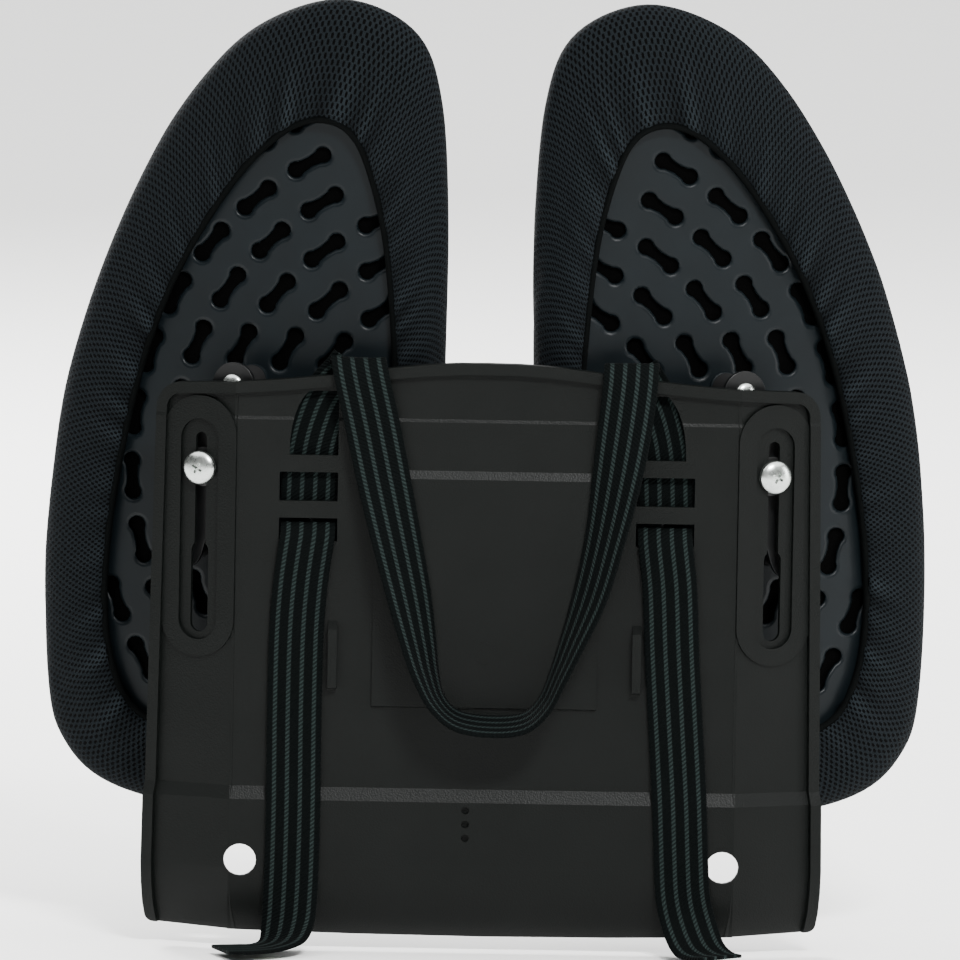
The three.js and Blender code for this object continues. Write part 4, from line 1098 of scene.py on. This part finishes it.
def turned(name, profile, place, finish, segments=56):
    """A lathe-turned piece from (radius, distance along the axis) points."""
    closed = profile[0] == profile[-1]
    rows = profile[:-1] if closed else profile
    points = []
    for r, y in rows:
        for i in range(segments):
            a = 2 * math.pi * i / segments
            points.append(place @ Vector((r * math.cos(a), y, r * math.sin(a))) * MM)
    piece = new_piece(name, points, wall_faces(len(rows), segments, closed), finish)
    face_outwards(piece)
    sharpen(piece, 32)
    return piece


def ring_profile(outer, bore, rear, front, round_off=0.25):
    """A flat ring with rounded outer edges."""
    r, b, c = outer / 2, bore / 2, round_off
    return [
        (b, rear), (r - c, rear), (r - 0.3 * c, rear + 0.3 * c), (r, rear + c), (r, front - c),
        (r - 0.3 * c, front - 0.3 * c), (r - c, front), (b, front), (b, rear),
    ]


def screw_profile(head, height, shank, length, seat, facing):
    """A pan-head screw whose head seats at `seat` and whose shank runs the way that facing says."""
    rows = []
    for degrees in range(0, 91, 9):
        a = math.radians(degrees)
        rows.append((head / 2 * math.sin(a), -0.25 * height - 0.75 * height * math.cos(a)))
    rows += [(head / 2, -0.08 * height), (head / 2 - 0.15, 0), (shank / 2, 0)]
    rows += [(shank / 2, length - 0.6), (shank / 2 * 0.72, length), (0.01, length)]
    rows[0] = (0.01, rows[0][1])
    return [(r, seat + facing * y) for r, y in rows]


RECESS_REACH = 2.6
RECESS_WIDTH = 1.15
RECESS_DEPTH = 2.2
RECESS_TURN = 0.5  # radians, as the driver left it


def cut_cross_recess(piece, place, head_top):
    """Sinks a cross for the driver into a screw's head."""
    box_faces = [(0, 1, 3, 2), (4, 6, 7, 5), (0, 4, 5, 1), (2, 3, 7, 6), (0, 2, 6, 4), (1, 5, 7, 3)]
    cutters = []
    for turn in (RECESS_TURN, RECESS_TURN + math.pi / 2):
        spin = Matrix.Rotation(turn, 4, "Y")
        corners = [
            place @ spin @ Vector((x * RECESS_REACH, head_top + y, z * RECESS_WIDTH / 2)) * MM
            for x in (-1, 1) for y in (-1, RECESS_DEPTH) for z in (-1, 1)
        ]
        cutter = new_piece("recess_cutter", corners, box_faces, ZINC)
        face_outwards(cutter)
        cutters.append(cutter)
        cut = piece.modifiers.new("Recess", "BOOLEAN")
        cut.operation = "DIFFERENCE"
        cut.solver = "EXACT"
        cut.object = cutter
    bpy.context.view_layer.update()
    evaluated = piece.evaluated_get(bpy.context.evaluated_depsgraph_get())
    mesh = bpy.data.meshes.new_from_object(evaluated)
    piece.modifiers.clear()
    piece.data = mesh
    for cutter in cutters:
        bpy.data.objects.remove(cutter)
    sharpen(piece, 32)


BOLT_HEAD = (15.4, 4.0)  # diameter and height
SCREW_HEAD = (9.6, SCREW_HEAD_HEIGHT)
SHANK = 5.0
BORE = 6.0
WASHER_DIAMETER = 15.0
SLIDER_DIAMETER = 18.0


ARM_ENDS = {"upper": 1, "lower": -1}
NUT_ROUNDING, ARM_ROUNDING, PANEL_ROUNDING = 0.3, 0.35, 0.6


def clamp_and_arm(name, side):
    """The clamp stack in the slot, and the arm with its screws."""
    stack = clamp_frame(side)
    length = NUT_REAR + SCREW_GRIP - HEAD_SEAT
    profile = screw_profile(*BOLT_HEAD, SHANK, length, HEAD_SEAT, 1)
    bolt = turned(f"{name}_clamp_bolt_turned", profile, stack, ZINC)
    cut_cross_recess(bolt, stack, HEAD_SEAT - BOLT_HEAD[1])
    attach(bolt, f"{name}_clamp", "bright_zinc", f"{name}_clamp_bolt")
    rings = {
        "bolt_washer": (WASHER_DIAMETER, WASHER_REAR, WASHER_THICKNESS, ZINC, "bright_zinc"),
        "slider_disc": (SLIDER_DIAMETER, SLIDER_REAR, SLIDER_THICKNESS, BLACK_NYLON, "nylon"),
    }
    for part, (size, rear, thick, finish, slot) in rings.items():
        profile = ring_profile(size, BORE, rear, rear + thick)
        ring = turned(f"{name}_{part}_turned", profile, stack, finish)
        attach(ring, f"{name}_clamp", slot, f"{name}_{part}")
    nut = softened_copy(f"{name}_clamp_nut", f"{name}_clamp_nut_plated", NUT_ROUNDING, ZINC)
    attach(nut, f"{name}_clamp", "bright_zinc", f"{name}_clamp_nut")
    arm = softened_copy(f"{name}_arm", f"{name}_arm_plate", ARM_ROUNDING, BLACK_STEEL)
    attach(arm, f"{name}_arm_set", "black_steel", f"{name}_arm")
    for part, end in ARM_ENDS.items():
        place = arm_frame(side, end)
        seat = ARM_REAR - TOUCH_GAP
        profile = screw_profile(*SCREW_HEAD, SHANK, BUFFER_REAR + SCREW_GRIP - ARM_REAR, seat, 1)
        screw = turned(f"{name}_{part}_arm_screw_turned", profile, place, ZINC, 40)
        cut_cross_recess(screw, place, seat - SCREW_HEAD_HEIGHT)
        attach(screw, f"{name}_arm_set", "bright_zinc", f"{name}_{part}_arm_screw")


BUFFER_RADIUS = 6.95
BUFFER_WAIST = 0.7  # how far in the middle draws


def buffer_profile():
    """A rubber buffer, waisted in the middle and rounded at its ends, with a bore for the screws."""
    bore, rim = BORE / 2, BUFFER_RADIUS - 0.55
    rows = [(bore, 0), (4.2, 0), (rim, 0.7), (BUFFER_RADIUS - 0.05, 1.6)]
    for t in np.linspace(0.12, 0.88, 9):
        rows.append((BUFFER_RADIUS - BUFFER_WAIST * math.sin(math.pi * t), BUFFER_LENGTH * t))
    rows += [(BUFFER_RADIUS - 0.05, BUFFER_LENGTH - 0.9), (rim, BUFFER_LENGTH)]
    rows += [(bore, BUFFER_LENGTH), (bore, 0)]
    return [(r, y + BUFFER_REAR) for r, y in rows]


def buffers_and_bosses(name, side):
    """The rubber buffers, the shell's bosses that they press on, and the screws into them."""
    for part, end in ARM_ENDS.items():
        place = arm_frame(side, end)
        rubber = turned(f"{name}_{part}_buffer_moulded", buffer_profile(), place, RUBBER)
        attach(rubber, f"{name}_wing", "rubber", f"{name}_{part}_buffer")
        boss_rows = ring_profile(BOSS_DIAMETER, BORE, BUFFER_FRONT + TOUCH_GAP, SHELL_SEAT, 0.6)
        boss = turned(f"{name}_{part}_boss", boss_rows, place, SHELL_NYLON)
        attach(boss, f"{name}_wing", "wing_plastic")
        length = SHELL_SEAT - BUFFER_FRONT + SCREW_GRIP
        profile = screw_profile(*SCREW_HEAD, SHANK, length, SHELL_SEAT + TOUCH_GAP, -1)
        screw = turned(f"{name}_{part}_shell_screw_turned", profile, place, ZINC, 32)
        attach(screw, f"{name}_wing", "bright_zinc", f"{name}_{part}_shell_screw")


# ---- Assembly -----------------------------------------------------------------------------------

panel = softened_copy("back_panel", "panel_moulding", PANEL_ROUNDING, POLYPROPYLENE)
attach(panel, "panel", "moulded_panel", "back_panel")

seats = []
for end in ARM_ENDS.values():
    seat = arm_frame(1, end) @ Vector((0, BUFFER_FRONT, 0))
    seats.append(np.array([seat.x, seat.z]))
shells = make_shells(seats)
for name, side in SIDES.items():
    rng = np.random.default_rng(11 + side)
    body = f"{name}_wing"
    clamp_and_arm(name, side)
    buffers_and_bosses(name, side)
    attach(shells[name], body, "wing_plastic", f"{name}_wing_shell")
    attach(make_foam(f"{name}_foam", side), body, "foam", f"{name}_wing_foam")
    elastic = make_hem_tube(f"{name}_hem_elastic", side, rng, *HEM_CORD)
    attach(elastic, body, "elastic_hem", f"{name}_wing_hem_cord")
    attach(make_hem_tube(f"{name}_hem_binding", side, rng, *HEM_BINDING), body, "elastic_hem")
    cover = make_cover(f"{name}_mesh_cover", side, rng)
    attach(cover, body, "air_mesh", f"{name}_wing_cover")

FLOOR_GAP = 2  # below the object's lowest point
FLOOR_HALF = 14.0
floor_z = cad_box[0][2] - FLOOR_GAP * MM
floor = new_piece(
    "studio_floor",
    [(x * FLOOR_HALF, y * FLOOR_HALF, floor_z) for x, y in ((-1, -1), (1, -1), (1, 1), (-1, 1))],
    [(0, 1, 2, 3)],
    speckled("painted studio floor", "#f2f2f0", "#f4f4f3", 40, 0.8, 0.01),
    False,
)

world = bpy.data.worlds.new("studio")
world.use_nodes = True
world.node_tree.nodes["Background"].inputs["Color"].default_value = (1, 1, 1, 1)
world.node_tree.nodes["Background"].inputs["Strength"].default_value = 0.12
bpy.context.scene.world = world
MIDDLE = (0, 0, 0.08)
add_light("ceiling_softbox", (0, 2, 6), (0, 2, 0), (16, 16), 2500)
add_light("key_softbox", (0.6, -1.9, 1.75), MIDDLE, (0.6, 0.25), 115)
add_light("side_softbox", (2.4, -0.5, 0.5), MIDDLE, (0.3, 1.2), 25)
add_light("sitter_side_softbox", (-1.1, 2.3, 1.3), MIDDLE, (0.9, 0.5), 150)
